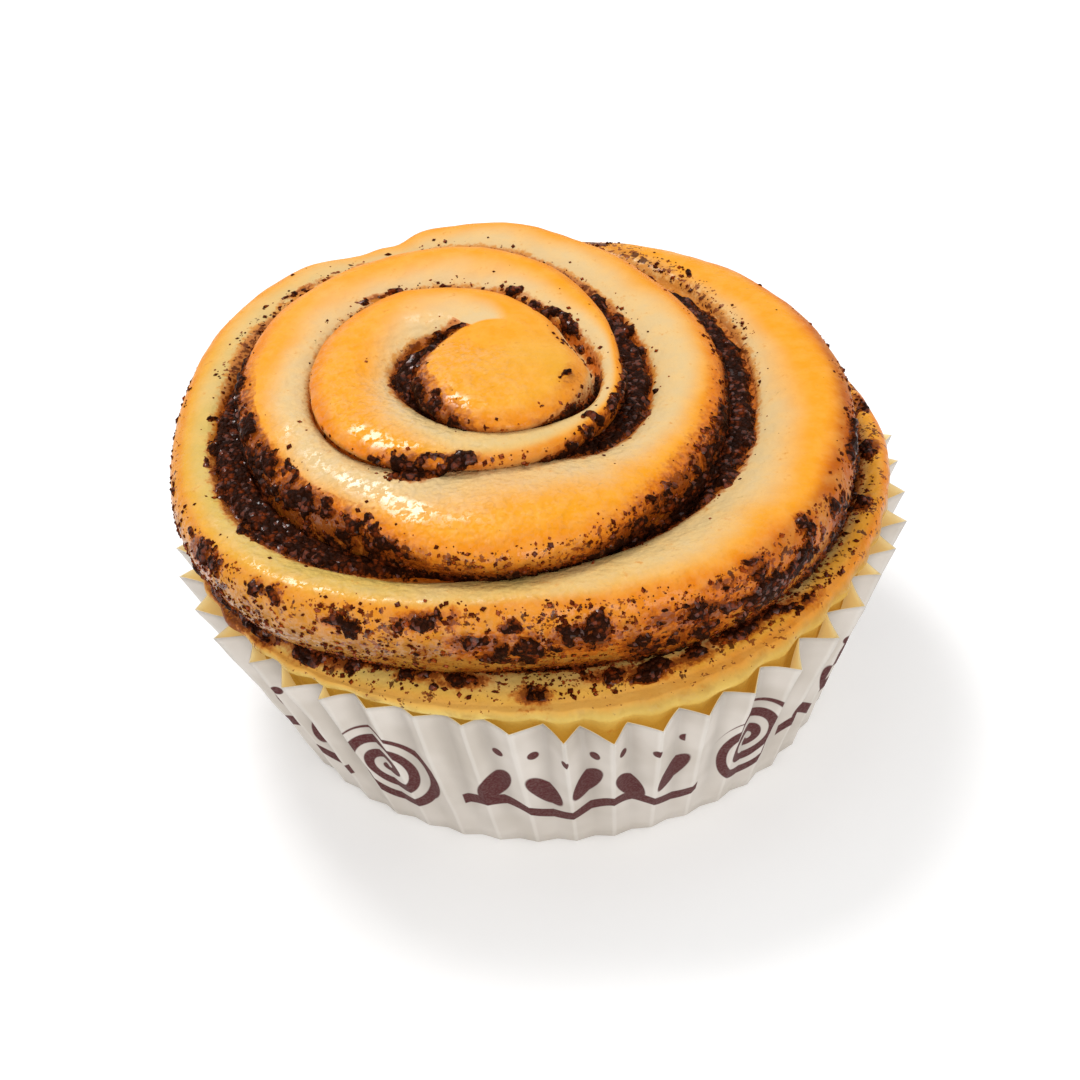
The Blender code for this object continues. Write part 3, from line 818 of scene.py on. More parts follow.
def sampled(lines):
    """Values of every line across the crease at the even steps of s."""
    made = np.empty((len(seam), len(s_steps), 3))
    for i, axis in product(range(len(seam)), range(3)):
        made[i, :, axis] = np.interp(s_steps, line_s[i], lines[i, :, axis])
    return made


skin = sampled(line)
skin_normals = sampled(beside_crease(normals))
skin_normals /= np.linalg.norm(skin_normals, axis=-1, keepdims=True)
on_line = (s_steps[None, :] > line_s[:, :1]) & (s_steps[None, :] < line_s[:, -1:])
seam_grid, s_grid = np.meshgrid(seam, s_steps, indexing="ij")
print("filling grid:", skin.shape[:2])

# %% [markdown]
# The height of the filling is a sum: its cover, which is 1 well inside the edge and falls
# below nothing outside it, times a thickness, plus clumps and grit. Where the height is
# below nothing the sheet would lie inside the dough, so those faces are left out. In a
# narrow slit the height can't pass the middle, or the two sides would cut each other.

# %% Raise the filling
FILLING_THICK, FILLING_THIN, TROUGH_FADE = 1.1, 0.35, (1.5, 4.0)
OFF_LINE, COVER_AT_EDGE, BARE = -9.0, 0.25, -0.35
CLUMPS, CLUMP_HEIGHT, CLUMP_MIDDLE, CLUMP_FADE = (1.5, 31), 0.6, 0.55, (-0.1, 0.9)
GRIT, GRIT_HEIGHT, GRIT_MIDDLE, GRIT_FADE = (0.65, 32), 0.34, 0.5, (-0.3, 0.3)
BURIED = -0.15

inside = np.where(on_line, inside_filling(seam_grid, s_grid, skin), OFF_LINE)
cover = np.clip(inside + COVER_AT_EDGE, -1, 1)
crease_gap = crease_width(seam_grid)
wide = blend(crease_gap, NARROW_GAP, OPEN_GAP)
in_trough = wide * (1 - blend(np.abs(s_grid), *TROUGH_FADE))
live = cover > BARE
clump_height, grit_height, clump_tint = np.zeros((3, *cover.shape))
clump_height[live], clump_tint[live] = pebbles(skin[live], *CLUMPS)
grit_height[live], _ = pebbles(skin[live], *GRIT)
relief = cover * (FILLING_THIN + (FILLING_THICK - FILLING_THIN) * in_trough)
relief += (clump_height - CLUMP_MIDDLE) * CLUMP_HEIGHT * blend(cover, *CLUMP_FADE)
relief += (grit_height - GRIT_MIDDLE) * GRIT_HEIGHT * blend(cover, *GRIT_FADE)
wall_side, ledge_side = edge_of_crease(seam_grid, -1), edge_of_crease(seam_grid, 1)
in_slit = np.abs(s_grid) < np.where(s_grid < 0, wall_side, ledge_side)
relief = np.where(in_slit & (wide < 1), np.minimum(relief, crease_gap / 2), relief)
relief = np.clip(np.where(on_line, relief, BURIED), BURIED, None)

filling_faces = grid_faces(*relief.shape)
shown = (relief.ravel()[filling_faces] > 0).any(axis=1)
used, filling_faces = np.unique(filling_faces[shown], return_inverse=True)
filling = new_object(
    "cinnamon_filling",
    (skin + skin_normals * relief[..., None]).reshape(-1, 3)[used],
    filling_faces.reshape(-1, 4),
    {"tint": clump_tint.ravel()[used], "cover": cover.ravel()[used]},
    join=False,
)
print("filling faces:", len(filling.data.polygons))

# %% [markdown]
# ## Loose grains
#
# Above the solid filling the crust is peppered with grains the size of coarse sand. They
# are real little stones here: an octahedron for each, knocked out of shape, flattened,
# sunk a third of the way into the crust and all joined into one mesh. Their places are
# drawn at random with a fixed seed, more of them where the table says so.

# %% Where the grains lie
GRAINS_ON_WALL = turns(
    (0.1, 0.3, 0.4, 0.3, 0.4, 0.3, 0.1, 0.0),
    (0.0, 0.2, 0.3, 0.4, 0.5, 0.4, 0.2, 0.0),
    (0.0, 0.5, 1.0, 0.9, 0.9, 0.7, 0.4, 0.0),
    (0.0, 0.6, 1.0, 1.0, 1.0, 0.7, 0.0, 0.0),
)
GRAINS_ON_LEDGE = turns(
    (0.1, 0.2, 0.0, 0.0, 0.0, 0.1, 0.4, 0.6),
    (0.7, 0.1, 0.0, 0.0, 0.0, 0.1, 0.2, 0.3),
    (0.8, 0.1, 0.0, 0.0, 0.0, 0.3, 0.8, 0.9),
    (0.2, 0.6, 0.8, 0.9, 0.9, 0.9, 1.0, 0.4),
)
SEAM_SEEN_FROM = turns(
    (2.8, 2.8, 2.8, 2.8, 2.8, 3.0, 3.2, 4.2),
    (3.6, 2.8, 2.6, 2.6, 2.8, 3.0, 3.8, 6.0),
    (5.6, 3.0, 1.9, 1.7, 2.3, 3.0, 4.2, 7.2),
    (6.0, 3.0, 3.0, 3.0, 3.0, 3.0, 4.0, 4.0),
)
SEEN_IN_FRONT = 2.8
LEDGE_WIDENS, LEDGE_WIDER = (1200.0, 1260.0), 3.0
GRAINS_FROM_FOOT, GRAINS_TO_CROWN = (0.5, 2.5), (-0.5, 1.4)
GRAINS_FROM_LEDGE, GRAINS_TO_SHELF = (2.0, 3.5), (3.5, 5.5)


def grain_share(winding, s):
    """0 to 1: how thickly grains lie at a distance from a crease; s is minus up the wall."""
    below_crown = 1 - blend(past_crown(winding, s), *GRAINS_TO_CROWN)
    on_wall = along(GRAINS_ON_WALL, winding) * blend(-s, *GRAINS_FROM_FOOT) * below_crown
    wider = LEDGE_WIDER * blend(winding, *LEDGE_WIDENS)
    hidden = along(SEAM_SEEN_FROM, winding) - SEEN_IN_FRONT
    start, end = GRAINS_TO_SHELF
    near = blend(s, *GRAINS_FROM_LEDGE) * (1 - blend(s - wider - hidden, start, end + wider))
    return np.maximum(on_wall + along(GRAINS_ON_LEDGE, winding) * near, 0)


print("most grains on a wall:", GRAINS_ON_WALL.max())

# %% [markdown]
# The grains themselves are drawn in one go for all of them: a spot for each on the fine
# grid beside the creases, a size that is mostly small, a direction, and corners that are
# each a little longer or shorter. None of them lies where the solid filling is.

# %% Grains on the crust
GRAIN_COUNT, GRAIN_SEED = 4500, 12
GRAIN_SMALLEST, GRAIN_LARGEST, MOSTLY_SMALL = 0.12, 0.46, 3
GRAIN_FLATNESS, GRAIN_LIFT, GRAIN_UNEVEN, TINT_BY_SIZE = 0.55, 0.2, 0.5, 1.4
FEWEST, PATCHES, PATCH_FROM, ALWAYS_SOME = 0.06, (4.0, 41), (-0.2, 0.5), 0.15
BESIDE_FILLING, BESIDE_REACH, COVERED = 0.5, 0.7, 0.1

octahedron = np.array(
    [(1, 0, 0), (0, 1, 0), (-1, 0, 0), (0, -1, 0), (0, 0, 1), (0, 0, -1)], float
)
octahedron_faces = np.array([
    (i, (i + 1) % 4, 4) if top else ((i + 1) % 4, i, 5)
    for i in range(4) for top in (True, False)
])

chance = grain_share(seam_grid, s_grid)
chance *= chance > FEWEST
chance *= ALWAYS_SOME + blend(rough_noise(skin, *PATCHES), *PATCH_FROM)
chance += BESIDE_FILLING * np.exp(-np.maximum(-inside, 0) / BESIDE_REACH)
chance = np.where(on_line & (cover < COVERED) & ~in_slit, np.maximum(chance, 0), 0).ravel()

draw = np.random.default_rng(GRAIN_SEED)
chosen = draw.choice(chance.size, GRAIN_COUNT, replace=False, p=chance / chance.sum())
spots = skin.reshape(-1, 3)[chosen]
ups = skin_normals.reshape(-1, 3)[chosen]
larger = (GRAIN_LARGEST - GRAIN_SMALLEST) * draw.random(GRAIN_COUNT) ** MOSTLY_SMALL
grain_sizes = GRAIN_SMALLEST + larger
sideways = np.cross(ups, draw.normal(size=(GRAIN_COUNT, 3)))
sideways /= np.linalg.norm(sideways, axis=1, keepdims=True)
third = np.cross(ups, sideways)
corners = len(octahedron)
longer = GRAIN_UNEVEN * (draw.random((GRAIN_COUNT, corners, 1)) - 0.5)
stretch = 1 - GRAIN_UNEVEN / 2 + GRAIN_UNEVEN * draw.random((GRAIN_COUNT, 1))
axes = np.stack([sideways * stretch, third / stretch, ups * GRAIN_FLATNESS], axis=1)
stones = sum((octahedron * (1 + longer))[..., i, None] * axes[:, None, i] for i in range(3))
middles = spots + ups * (grain_sizes * GRAIN_LIFT)[:, None]
grains = stones * grain_sizes[:, None, None] + middles[:, None]
grain_faces = octahedron_faces[None] + corners * np.arange(GRAIN_COUNT)[:, None, None]
grain_faces = grain_faces.reshape(-1, 3)[:, [0, 1, 2, 0]]
grain_tint = draw.random(GRAIN_COUNT) - TINT_BY_SIZE * (grain_sizes - GRAIN_SMALLEST)
crumbs = new_object(
    "loose_grains", grains, grain_faces, {"tint": np.repeat(grain_tint, corners)}, join=False
)
print("grains:", GRAIN_COUNT, "with", len(crumbs.data.polygons), "faces")

# %% [markdown]
# ## What steers the crust's colour
#
# Colour isn't even along the strip either: the front left is paler and more yellow, the
# right side stood nearer to the heat, and the egg wash was brushed on thickly at the left.
# Each table gives one of these tones at every 45 degrees along the strip. They end up as
# values on the mesh's points, and the material mixes its colours by them. Painting the
# same by hand with vertex paint would do too, but a table can be set against the photo.

# %% Tones along the strip
TONES = {
    "pale": turns(
        (-0.6, -0.6, -0.6, -0.6, -0.6, -0.6, -0.4, 0.35),
        (0.45, 0.15, 0.25, 0.8, 0.6, 0.6, 0.45, 0.45),
        (0.4, 0.4, 0.75, 0.4, 0.5, 0.65, 0.55, 0.5),
        (0.6, 0.5, 0.5, 0.75, 0.55, 0.25, 0.05, 0.1),
        (0.3, 0.5, 0.7, 0.5, 0.4, 0.2, 0.2, 0.3),
    ),
    "yellow": turns(
        (0.0, 0.0, 0.1, 0.3, 0.6, 0.3, 0.1, 0.0),
        (0.0, 0.0, 0.1, 0.4, 0.2, 0.1, 0.1, 0.0),
        (0.0, 0.1, 0.1, 0.1, 0.1, 0.15, 0.1, 0.1),
        (0.4, 0.8, 1.0, 0.7, 0.2, 0.1, 0.1, 0.2),
        (0.5, 0.6, 0.9, 0.9, 0.6, 0.3, 0.3, 0.3),
    ),
    "orange": turns(
        (0.0, 0.0, 0.3, 0.5, 0.3, 0.1, 0.2, 0.2),
        (0.3, 0.6, 0.8, 0.4, 0.3, 0.3, 0.3, 0.4),
        (0.5, 0.6, 0.8, 0.4, 0.7, 0.7, 0.6, 0.4),
        (0.3, 0.3, 0.3, 0.45, 0.95, 1.0, 0.8, 0.4),
        (0.3, 0.3, 0.3, 0.4, 0.5, 0.6, 0.5, 0.3),
    ),
    "cream": turns(
        (0.0, 0.0, 0.0, 0.2, 0.6, 1.0, 1.0, 0.6),
        (0.2, 0.0, 0.0, 0.3, 0.0, 0.0, 0.2, 0.2),
        (0.0, 0.0, 0.1, 0.0, 0.0, 0.0, 0.0, 0.0),
        0.0,
        0.0,
    ),
    "gloss": turns(
        (0.1, 0.5, 1.0, 0.8, 0.2, 0.0, 0.0, 0.0),
        (0.1, 0.6, 1.0, 0.6, 0.1, 0.0, 0.0, 0.0),
        (0.1, 0.4, 1.0, 1.0, 0.5, 0.1, 0.0, 0.0),
        (0.1, 0.2, 0.8, 0.9, 0.4, 0.0, 0.2, 0.3),
        (0.2, 0.2, 0.2, 0.2, 0.2, 0.4, 0.6, 0.2),
    ),
}

print("tones:", sorted(TONES))

# %% [markdown]
# The other values are distances. The stain falls off from the filling's edge, the hug is
# a narrow dark rim that follows every crease, and the crevice marks its depth. At the
# back the camera sees a ledge only some millimetres past its crease, since the turn in
# front of it stands in the way, so the rim reaches further out there.

# %% Values that steer the crust's colour
LEDGE_NARROWER = 1.6
SEAM_DARKNESS = turns(
    1.0,
    (1.0, 1.0, 1.0, 1.0, 1.0, 1.0, 1.0, 0.9),
    (0.95, 1.0, 1.0, 1.0, 1.0, 1.0, 0.72, 0.6),
    (0.8, 1.35, 1.35, 1.3, 1.3, 1.3, 1.2, 1.0),
)
SEAM_FRINGE = turns(
    (1.0, 1.6, 1.4, 1.0, 0.8, 1.0, 0.9, 1.3),
    (1.4, 0.8, 0.8, 0.8, 0.8, 1.0, 0.8, 1.0),
    (1.8, 1.0, 0.8, 0.8, 0.8, 1.0, 1.4, 1.8),
    (1.0, 1.0, 1.2, 1.2, 1.2, 1.4, 1.4, 1.0),
)
SEAM_END = (TAIL - TURN - 8.0, TAIL - TURN + 1.0)
NO_FILLING, NO_CREASE, LEAST_STAIN = 9.0, 99.0, -6.0
HUG_UP_WALL, HUG_BEFORE_SEEN, CREVICE_REACH = (1.8, 4.2), 0.7, (1.5, 3.2)
SIDE_FADE = (29.0, 33.0)

outer_winding = np.minimum(windings, seam[-1])[:, None]
inner_winding = np.maximum(windings - TURN, SLIT)[:, None]
past_seam = blend(windings, *SEAM_END)[:, None]
on_core = inner_winding <= SLIT
inside_dough = np.maximum(
    inside_smooth(outer_winding, -to_outer) - NO_FILLING * past_seam,
    inside_smooth(inner_winding, from_inner) - NO_FILLING * on_core,
)
on_ledge = inside_dough * (1 + LEDGE_NARROWER * (inside_dough < 0))
stained = np.where(to_outer < from_inner, inside_dough, on_ledge)
peppering = np.maximum(
    grain_share(outer_winding, -to_outer) * (1 - past_seam),
    grain_share(inner_winding, from_inner) * ~on_core,
)
seen_from = along(SEAM_SEEN_FROM, inner_winding)
seen_to = seen_from + along(SEAM_FRINGE, inner_winding)
below_wall = to_outer + NO_CREASE * past_seam
beside_ledge = from_inner + NO_CREASE * on_core
hug_wall = (1 - blend(below_wall, *HUG_UP_WALL)) * along(SEAM_DARKNESS, outer_winding)
hug_ledge = 1 - blend(beside_ledge, seen_from - HUG_BEFORE_SEEN, seen_to)
hug_ledge = hug_ledge * along(SEAM_DARKNESS, inner_winding)
rows_down = np.arange(rows)[None, :]
dough_values = {
    "across": np.clip((rows_down - TOP_START) / (TOP_STEPS - 1), 0, 1),
    "down": np.clip((rows_down - CROWN_ROW) / WALL_STEPS, 0, 1),
    "stain": np.clip(stained, LEAST_STAIN, 1.0),
    "pepper": peppering,
    "crevice": 1 - blend(np.minimum(below_wall, beside_ledge), *CREVICE_REACH),
    "hug": np.maximum(hug_wall, hug_ledge),
    "side": at_case * (1 - blend(dough[..., 2], *SIDE_FADE)),
}
dough_values |= {tone: along(table, windings)[:, None] for tone, table in TONES.items()}
core_values = dict.fromkeys(dough_values, 0.0) | {"pale": TONES["pale"][0], "stain": LEAST_STAIN}
print("crust values:", sorted(dough_values))

# %% [markdown]
# ## Close the dough
#
# The strip, the little disc of the core and a floor make one closed skin. The floor is a
# fan from the middle of the base to the last row of the outermost turn, and the tail's
# cut end is a narrow fan too. Both are out of sight in the case, but a closed mesh is a
# solid one, which matters when it's printed or weighed.

# %% Join the dough's parts
skin_points = np.concatenate([dough.reshape(-1, 3), core.reshape(-1, 3), [[0.0, 0.0, FLOOR]]])
middle = len(skin_points) - 1
first_free = round((TAIL - TURN - SLIT) / COLUMN_STEP)
rim = np.arange(first_free, columns) * rows + rows - 1
hub = np.full(len(rim) - 1, middle)
tail_column = (columns - 1) * rows + np.arange(rows)
tail_start = np.full(rows - 1, tail_column[0])
skin_faces = np.concatenate([
    grid_faces(columns, rows),
    grid_faces(*core.shape[:2], first=columns * rows),
    np.stack([rim[:-1], hub, hub, rim[1:]], axis=-1),
    np.stack([tail_start, tail_start, tail_column[:-1], tail_column[1:]], axis=-1),
    [[middle, middle, tail_column[0], rim[-1]]],
])
values = {
    key: np.concatenate([
        np.broadcast_to(dough_values[key], (columns, rows)).ravel(),
        np.full(core.shape[0] * core.shape[1], core_values[key]),
        [0.0],
    ])
    for key in dough_values
}
bun = new_object("bun_dough", skin_points, skin_faces, values)
print("dough faces:", len(bun.data.polygons))

# %% [markdown]
# ## The paper case
#
# The case is one sheet of greaseproof paper pressed into pleats. Its rim is a zigzag with
# sharp folds outwards and rounder ones inwards, and the pleats run out towards the
# bottom. A sine wave with its tips folded over gives that outline. No two pleats are the
# same, so each has its own reach and place, and the paper is a little crumpled all over.

# %% Pleated paper
PAPER, LOWEST = 0.16, 0.25
BASE_INSET, INNER_INSET = 0.6, 1.1
COLUMNS_PER_FOLD, WALL_LEVELS, LEVEL_SPACING = 12, 22, 0.8
FOLD_SKEW, SKEW_SEED = 1.4, 54
FOLD_SHARP, FOLD_ROUND, FOLD_OPENING = 1.3, 0.7, 0.7
CRUMPLE, CRUMPLE_NOISE, CRUMPLE_FROM = 0.25, (5.0, 53), (0.5, 6.0)
RIM_UNEVEN, RIM_NOISE, RIM_FROM = 0.5, (7.0, 55), (0.6, 1.0)
PRINT_ROUND = 432.0


def fold_share(share):
    """0 on the outward fold of each pleat and 1 on its inward fold."""
    return 1 - np.abs(2 * (share * FOLDS % 1.0) - 1)


def paper_point(share, z, inset):
    """Points on the sheet at a share of the way round, a height and a distance inwards."""
    level = z / CASE_HEIGHT
    degrees = TURN * share
    inwards = fold_share(share)
    own = own_number(np.floor(share * FOLDS + SHORTEST) * TURN / FOLDS, SKEW_SEED)
    skew = FOLD_SKEW * own * inwards
    angle = np.radians(degrees + FIRST_FOLD + (pleat_shift(degrees) + skew) * level)
    fold = 2 - FOLD_SHARP * inwards - FOLD_ROUND * np.sin(np.pi / 2 * inwards)
    reach = fold_reach(0.0) + (fold_reach(z) - fold_reach(0.0)) * level**FOLD_OPENING
    bulges = swell(degrees, *FRONT_BULGE) + swell(degrees, *RIGHT_BULGE)
    radius = case_radius(z) - reach - inset + bulges * level
    radius = radius + reach * fold * pleat_size(degrees, level)
    spot = stacked(radius * np.cos(angle), radius * np.sin(angle), z)
    radius = radius + CRUMPLE * rough_noise(spot, *CRUMPLE_NOISE) * blend(z, *CRUMPLE_FROM)
    top = z + RIM_UNEVEN * soft_noise(spot, *RIM_NOISE) * blend(level, *RIM_FROM)
    return stacked(radius * np.cos(angle) + CASE_LEAN * level, radius * np.sin(angle), top)


share = np.arange(FOLDS * COLUMNS_PER_FOLD + 1) / (FOLDS * COLUMNS_PER_FOLD)
share[-1] = 0.0
levels = CASE_HEIGHT * np.linspace(0.0, 1.0, WALL_LEVELS) ** LEVEL_SPACING
levels[0] = LOWEST
round_the_case = share[:, None]
outer_wall = paper_point(round_the_case, levels[None, :], 0.0)
inner_wall = paper_point(round_the_case, np.maximum(levels[::-1], PAPER)[None, :], PAPER)
bottom_out = paper_point(round_the_case, np.zeros((1, 1)), BASE_INSET)
bottom_in = paper_point(round_the_case, np.full((1, 1), PAPER), INNER_INSET)
height_only = np.array((0.0, 0.0, 1.0))
sheet = np.concatenate([
    bottom_out * height_only, bottom_out, outer_wall,
    inner_wall, bottom_in, bottom_in * height_only,
], axis=1)
print("sheet of paper:", sheet.shape[:2], "points")

# %% [markdown]
# The sheet carries three values for its material: how far its pleats fold it back from
# the plain round, which the print needs, which side faces the dough, and how deep in a
# fold each point lies.

# %% From the sheet to the case
unrolled = distance_along(outer_wall[None, :, -1, :2])[0]
unrolled *= PRINT_ROUND / unrolled[-1]
straight = np.arctan2(sheet[..., 1], sheet[..., 0]) / (2 * math.pi) * PRINT_ROUND
folded = (unrolled[:, None] - straight + PRINT_ROUND / 2) % PRINT_ROUND - PRINT_ROUND / 2
fold_depth = np.broadcast_to(fold_share(share)[:, None], folded.shape)
faces_inwards = np.zeros(folded.shape)
faces_inwards[:, 2 + WALL_LEVELS:] = 1.0
paper = new_object(
    "pleated_case", sheet, grid_faces(*folded.shape)[:, ::-1],
    {"folded": folded, "inner": faces_inwards, "valley": fold_depth},
)
print("paper faces:", len(paper.data.polygons), "rim", np.ptp(sheet[..., 0]).round(1), "mm")

# %% [markdown]
# ## Shaders as expressions
#
# A material in Blender is a web of nodes. Wiring one by hand in Python hides the idea
# under bookkeeping, so a small class wraps a socket and lets Python's own operators add
# the Math nodes: a mask can be written as 1 - wet * 0.5. Each operator needs a method for
# when the wire stands on its left and one for its right, so a loop makes them all.

# %% A socket that does arithmetic
OPERATORS = {
    "add": "ADD",
    "sub": "SUBTRACT",
    "mul": "MULTIPLY",
    "truediv": "DIVIDE",
    "mod": "FLOORED_MODULO",
}


class Wire:
    """A value that a shader works out; operators on it add Math nodes."""

    def __init__(self, finish, socket):
        self.finish = finish
        self.socket = socket

    def __abs__(self):
        return self.finish.math("ABSOLUTE", self)


def operator(operation, on_right):
    """Method of a wire for one operator, on its left or its right side."""

    def method(self, other):
        values = (other, self) if on_right else (self, other)
        return self.finish.math(operation, *values)

    return method


for sign, operation in OPERATORS.items():
    setattr(Wire, f"__{sign}__", operator(operation, False))
    setattr(Wire, f"__r{sign}__", operator(operation, True))


def colour(code):
    """Linear colour of a web code such as #F5A845."""
    parts = [int(code[i:i + 2], 16) / 255 for i in (1, 3, 5)]
    return (*(p / 12.92 if p <= 0.04045 else ((p + 0.055) / 1.055) ** 2.4 for p in parts), 1.0)


print("gold in linear light:", [round(v, 3) for v in colour("#F5A845")])

# %% [markdown]
# The second class holds one material. Its methods add the nodes that the materials here
# need: smooth steps, mixes of two colours, values from the mesh, clouds, cells and bumps.
# Painting lays one more colour over what was mixed before, like a thin coat.

# %% A material with its helpers
class Finish:
    """One material, with helpers that add nodes to it."""

    def __init__(self, name, base="#FFFFFF"):
        self.material = bpy.data.materials.new(name)
        self.material.use_nodes = True
        self.tree = self.material.node_tree
        self.surface = self.tree.nodes["Principled BSDF"]
        self.position = self.node("ShaderNodeTexCoord", output="Object")
        self.painted = base

    def put(self, value, socket):
        """Links a wire to a socket, or sets the socket to a number or colour."""
        if isinstance(value, Wire):
            self.tree.links.new(value.socket, socket)
        else:
            socket.default_value = colour(value) if isinstance(value, str) else value

    def node(self, kind, settings=None, inputs=None, output=0):
        made = self.tree.nodes.new(kind)
        for key, value in (settings or {}).items():
            setattr(made, key, value)
        for key, value in (inputs or {}).items():
            self.put(value, made.inputs[key])
        return Wire(self, made.outputs[output])

    def feed(self, **inputs):
        """Sets or links the surface's own sockets; an underscore stands for a space."""
        for key, value in inputs.items():
            self.put(value, self.surface.inputs[key.replace("_", " ")])

    def math(self, operation, *values):
        return self.node("ShaderNodeMath", {"operation": operation}, dict(enumerate(values)))

    def step(self, value, start, end):
        """0 at start, 1 at end, smooth between them."""
        inputs = {"Value": value, "From Min": start, "From Max": end}
        return self.node("ShaderNodeMapRange", {"interpolation_type": "SMOOTHSTEP"}, inputs)

    def mix(self, a, b, factor):
        """Colour a where the factor is 0 and b where it's 1."""
        return self.node("ShaderNodeMix", {"data_type": "RGBA"}, {0: factor, 6: a, 7: b}, output=2)

    def paint(self, top, share):
        """Lays a colour over what has been painted so far."""
        self.painted = self.mix(self.painted, top, share)

    def value(self, name):
        return self.node("ShaderNodeAttribute", {"attribute_name": name}, output="Fac")

    def noise(self, size, detail=2.0, roughness=0.5, distortion=0.0):
        """Cloudy noise from 0 to 1 with spots of this size in millimetres."""
        return self.node("ShaderNodeTexNoise", None, {
            "Vector": self.position, "Scale": 1 / (size * MM), "Detail": detail,
            "Roughness": roughness, "Distortion": distortion,
        })

    def cells(self, size, output):
        inputs = {"Vector": self.position, "Scale": 1 / (size * MM)}
        return self.node("ShaderNodeTexVoronoi", None, inputs, output)

    def bump(self, height, depth, strength=1.0):
        """Normal of a height map; depth is its height in millimetres."""
        inputs = {"Height": height, "Distance": depth * MM, "Strength": strength}
        return self.node("ShaderNodeBump", None, inputs)


print("helpers of a material:", [name for name in vars(Finish) if not name.startswith("_")])

# %% [markdown]
# ## Crust
#
# The crust is pale where a turn was shielded by its neighbour and golden where it stood
# up into the oven's heat. The mesh knows how far across the turn each point is, so the
# colour follows that measure, loosened by noise: pale to golden, an orange edge at the
# crown, and a duller wall below it. On the left, where the yellow tone is high and the key
# light falls more, the wall is given a darker colour: painted shade.

# %% The crust's baked colour
PALE, GOLD, YELLOW, CLOUDY = "#DEBF8C", "#F09C18", "#CEAE4A", "#FFC568"
CROWN_EDGE, BURNT_EDGE = "#DC6E08", "#A84A06"
WALL, SHADED_YELLOW_WALL, CREAM = "#A8722A", "#8C6226", "#E9CD96"
LOW_SIDE, YELLOW_SIDE = "#DDA83C", "#E8CE74"

crust = Finish("crust", PALE)
across_top, down_wall, stain, pepper, crevice, hug = (
    crust.value(name) for name in ("across", "down", "stain", "pepper", "crevice", "hug")
)
pale, yellow, orange, cream, gloss, side = (
    crust.value(name) for name in ("pale", "yellow", "orange", "cream", "gloss", "side")
)
broad = crust.noise(11.0)
medium = crust.noise(2.6, 3.0, 0.6)
fine = crust.noise(0.7, 3.0, 0.6)

golden_share = crust.step(across_top + (broad - 0.5) * 0.5, pale - 0.3, pale + 0.3)
edge_share = crust.step(across_top + (broad - 0.5) * 0.35, 0.7, 1.0) * (0.35 + orange * 0.65)
burnt_share = crust.step(across_top * orange, 0.8, 0.98) * 0.85
on_wall = crust.step(down_wall + (medium - 0.5) * 0.4, 0.05, 0.6)
# Painted shade: where the yellow tone is high, on the left, the wall takes a darker colour to hold
# back the key light there.
wall_colour = crust.mix(crust.mix(WALL, SHADED_YELLOW_WALL, yellow), CREAM, cream)

crust.paint(GOLD, golden_share)
crust.paint(YELLOW, yellow * (0.75 + (broad - 0.5)) * (1 - golden_share * 0.35))
crust.paint(crust.mix(CROWN_EDGE, BURNT_EDGE, burnt_share), edge_share * 0.9)
crust.paint(wall_colour, on_wall * 0.85)
crust.paint(CLOUDY, crust.step(medium, 0.35, 0.68) * 0.2 * (1 - on_wall))
crust.paint(crust.mix(LOW_SIDE, YELLOW_SIDE, yellow), side * 0.85)
print("crust nodes so far:", len(crust.tree.nodes))

# %% [markdown]
# On top of the baked colour come the marks of the filling. Its syrup soaked in and burnt,
# from a wide orange glow to a dark scorched line, and the same happens in the creases.
# Two sizes of dots stand for the finest grains, which would be a waste as real stones.

# %% Marks of the filling on the crust
GLOW, SCORCHED = "#B9580A", "#6E2A08"
SEAM_RIM, BURNT_RIM, SEAM_LINE = "#D08226", "#B85C0C", "#5A2408"
SMUDGE, FADED_SPOT, DOT, BLOT = "#8A450A", "#A88C50", "#7E3610", "#4C1C08"

clean_shelf = 1 - cream * 0.92
frayed_stain = stain + ((medium - 0.5) * 4.0 + (fine - 0.5) * 6.0)
crust.paint(GLOW, crust.step(frayed_stain, -3.0, -0.4) * clean_shelf * 0.75)
crust.paint(SCORCHED, crust.step(frayed_stain, -0.9, 0.4) * clean_shelf * 0.75)
seam_rim = hug * clean_shelf + (fine - 0.5) * 1.6 + (medium - 0.5) * 1.4
rim_colour = crust.mix(SEAM_RIM, BURNT_RIM, crust.step(hug, 0.6, 0.95))
crust.paint(rim_colour, crust.step(seam_rim, 0.2, 0.8) * 0.8)
crust.paint(SEAM_LINE, crust.step(seam_rim, 0.95, 1.12) * 0.85)

small_dots = crust.noise(0.8, 2.0, 0.6)
large_dots = crust.noise(1.7, 3.0, 0.65)
peppered = pepper * (0.55 + crust.step(crust.noise(4.5), 0.4, 0.62) * 0.6)
crust.paint(SMUDGE, crust.step(medium, 0.44, 0.62) * peppered * on_wall * 0.6)
crust.paint(FADED_SPOT, crust.step(large_dots, 0.68, 0.76) * 0.4)
spotted = peppered * 0.2 + hug * clean_shelf * 0.1
crust.paint(DOT, crust.step(small_dots + spotted, 0.76, 0.8) * 0.85)
crust.paint(BLOT, crust.step(large_dots + spotted, 0.78, 0.82) * 0.9)
print("crust nodes so far:", len(crust.tree.nodes))

# %% [markdown]
# The egg wash is a clear coat. It isn't even: noise breaks it into glints, and it's
# strongest where the gloss table says so. A very shallow bump gives the skin its
# wrinkles. Light that bounces about in a deep crease turns warm, which a little emission
# of a dark orange stands for.

# %% The crust's finish
BLACK, WARM_CREASE, WARM_GLINT = "#000000", "#A0480C", (1.0, 0.75, 0.4, 1.0)

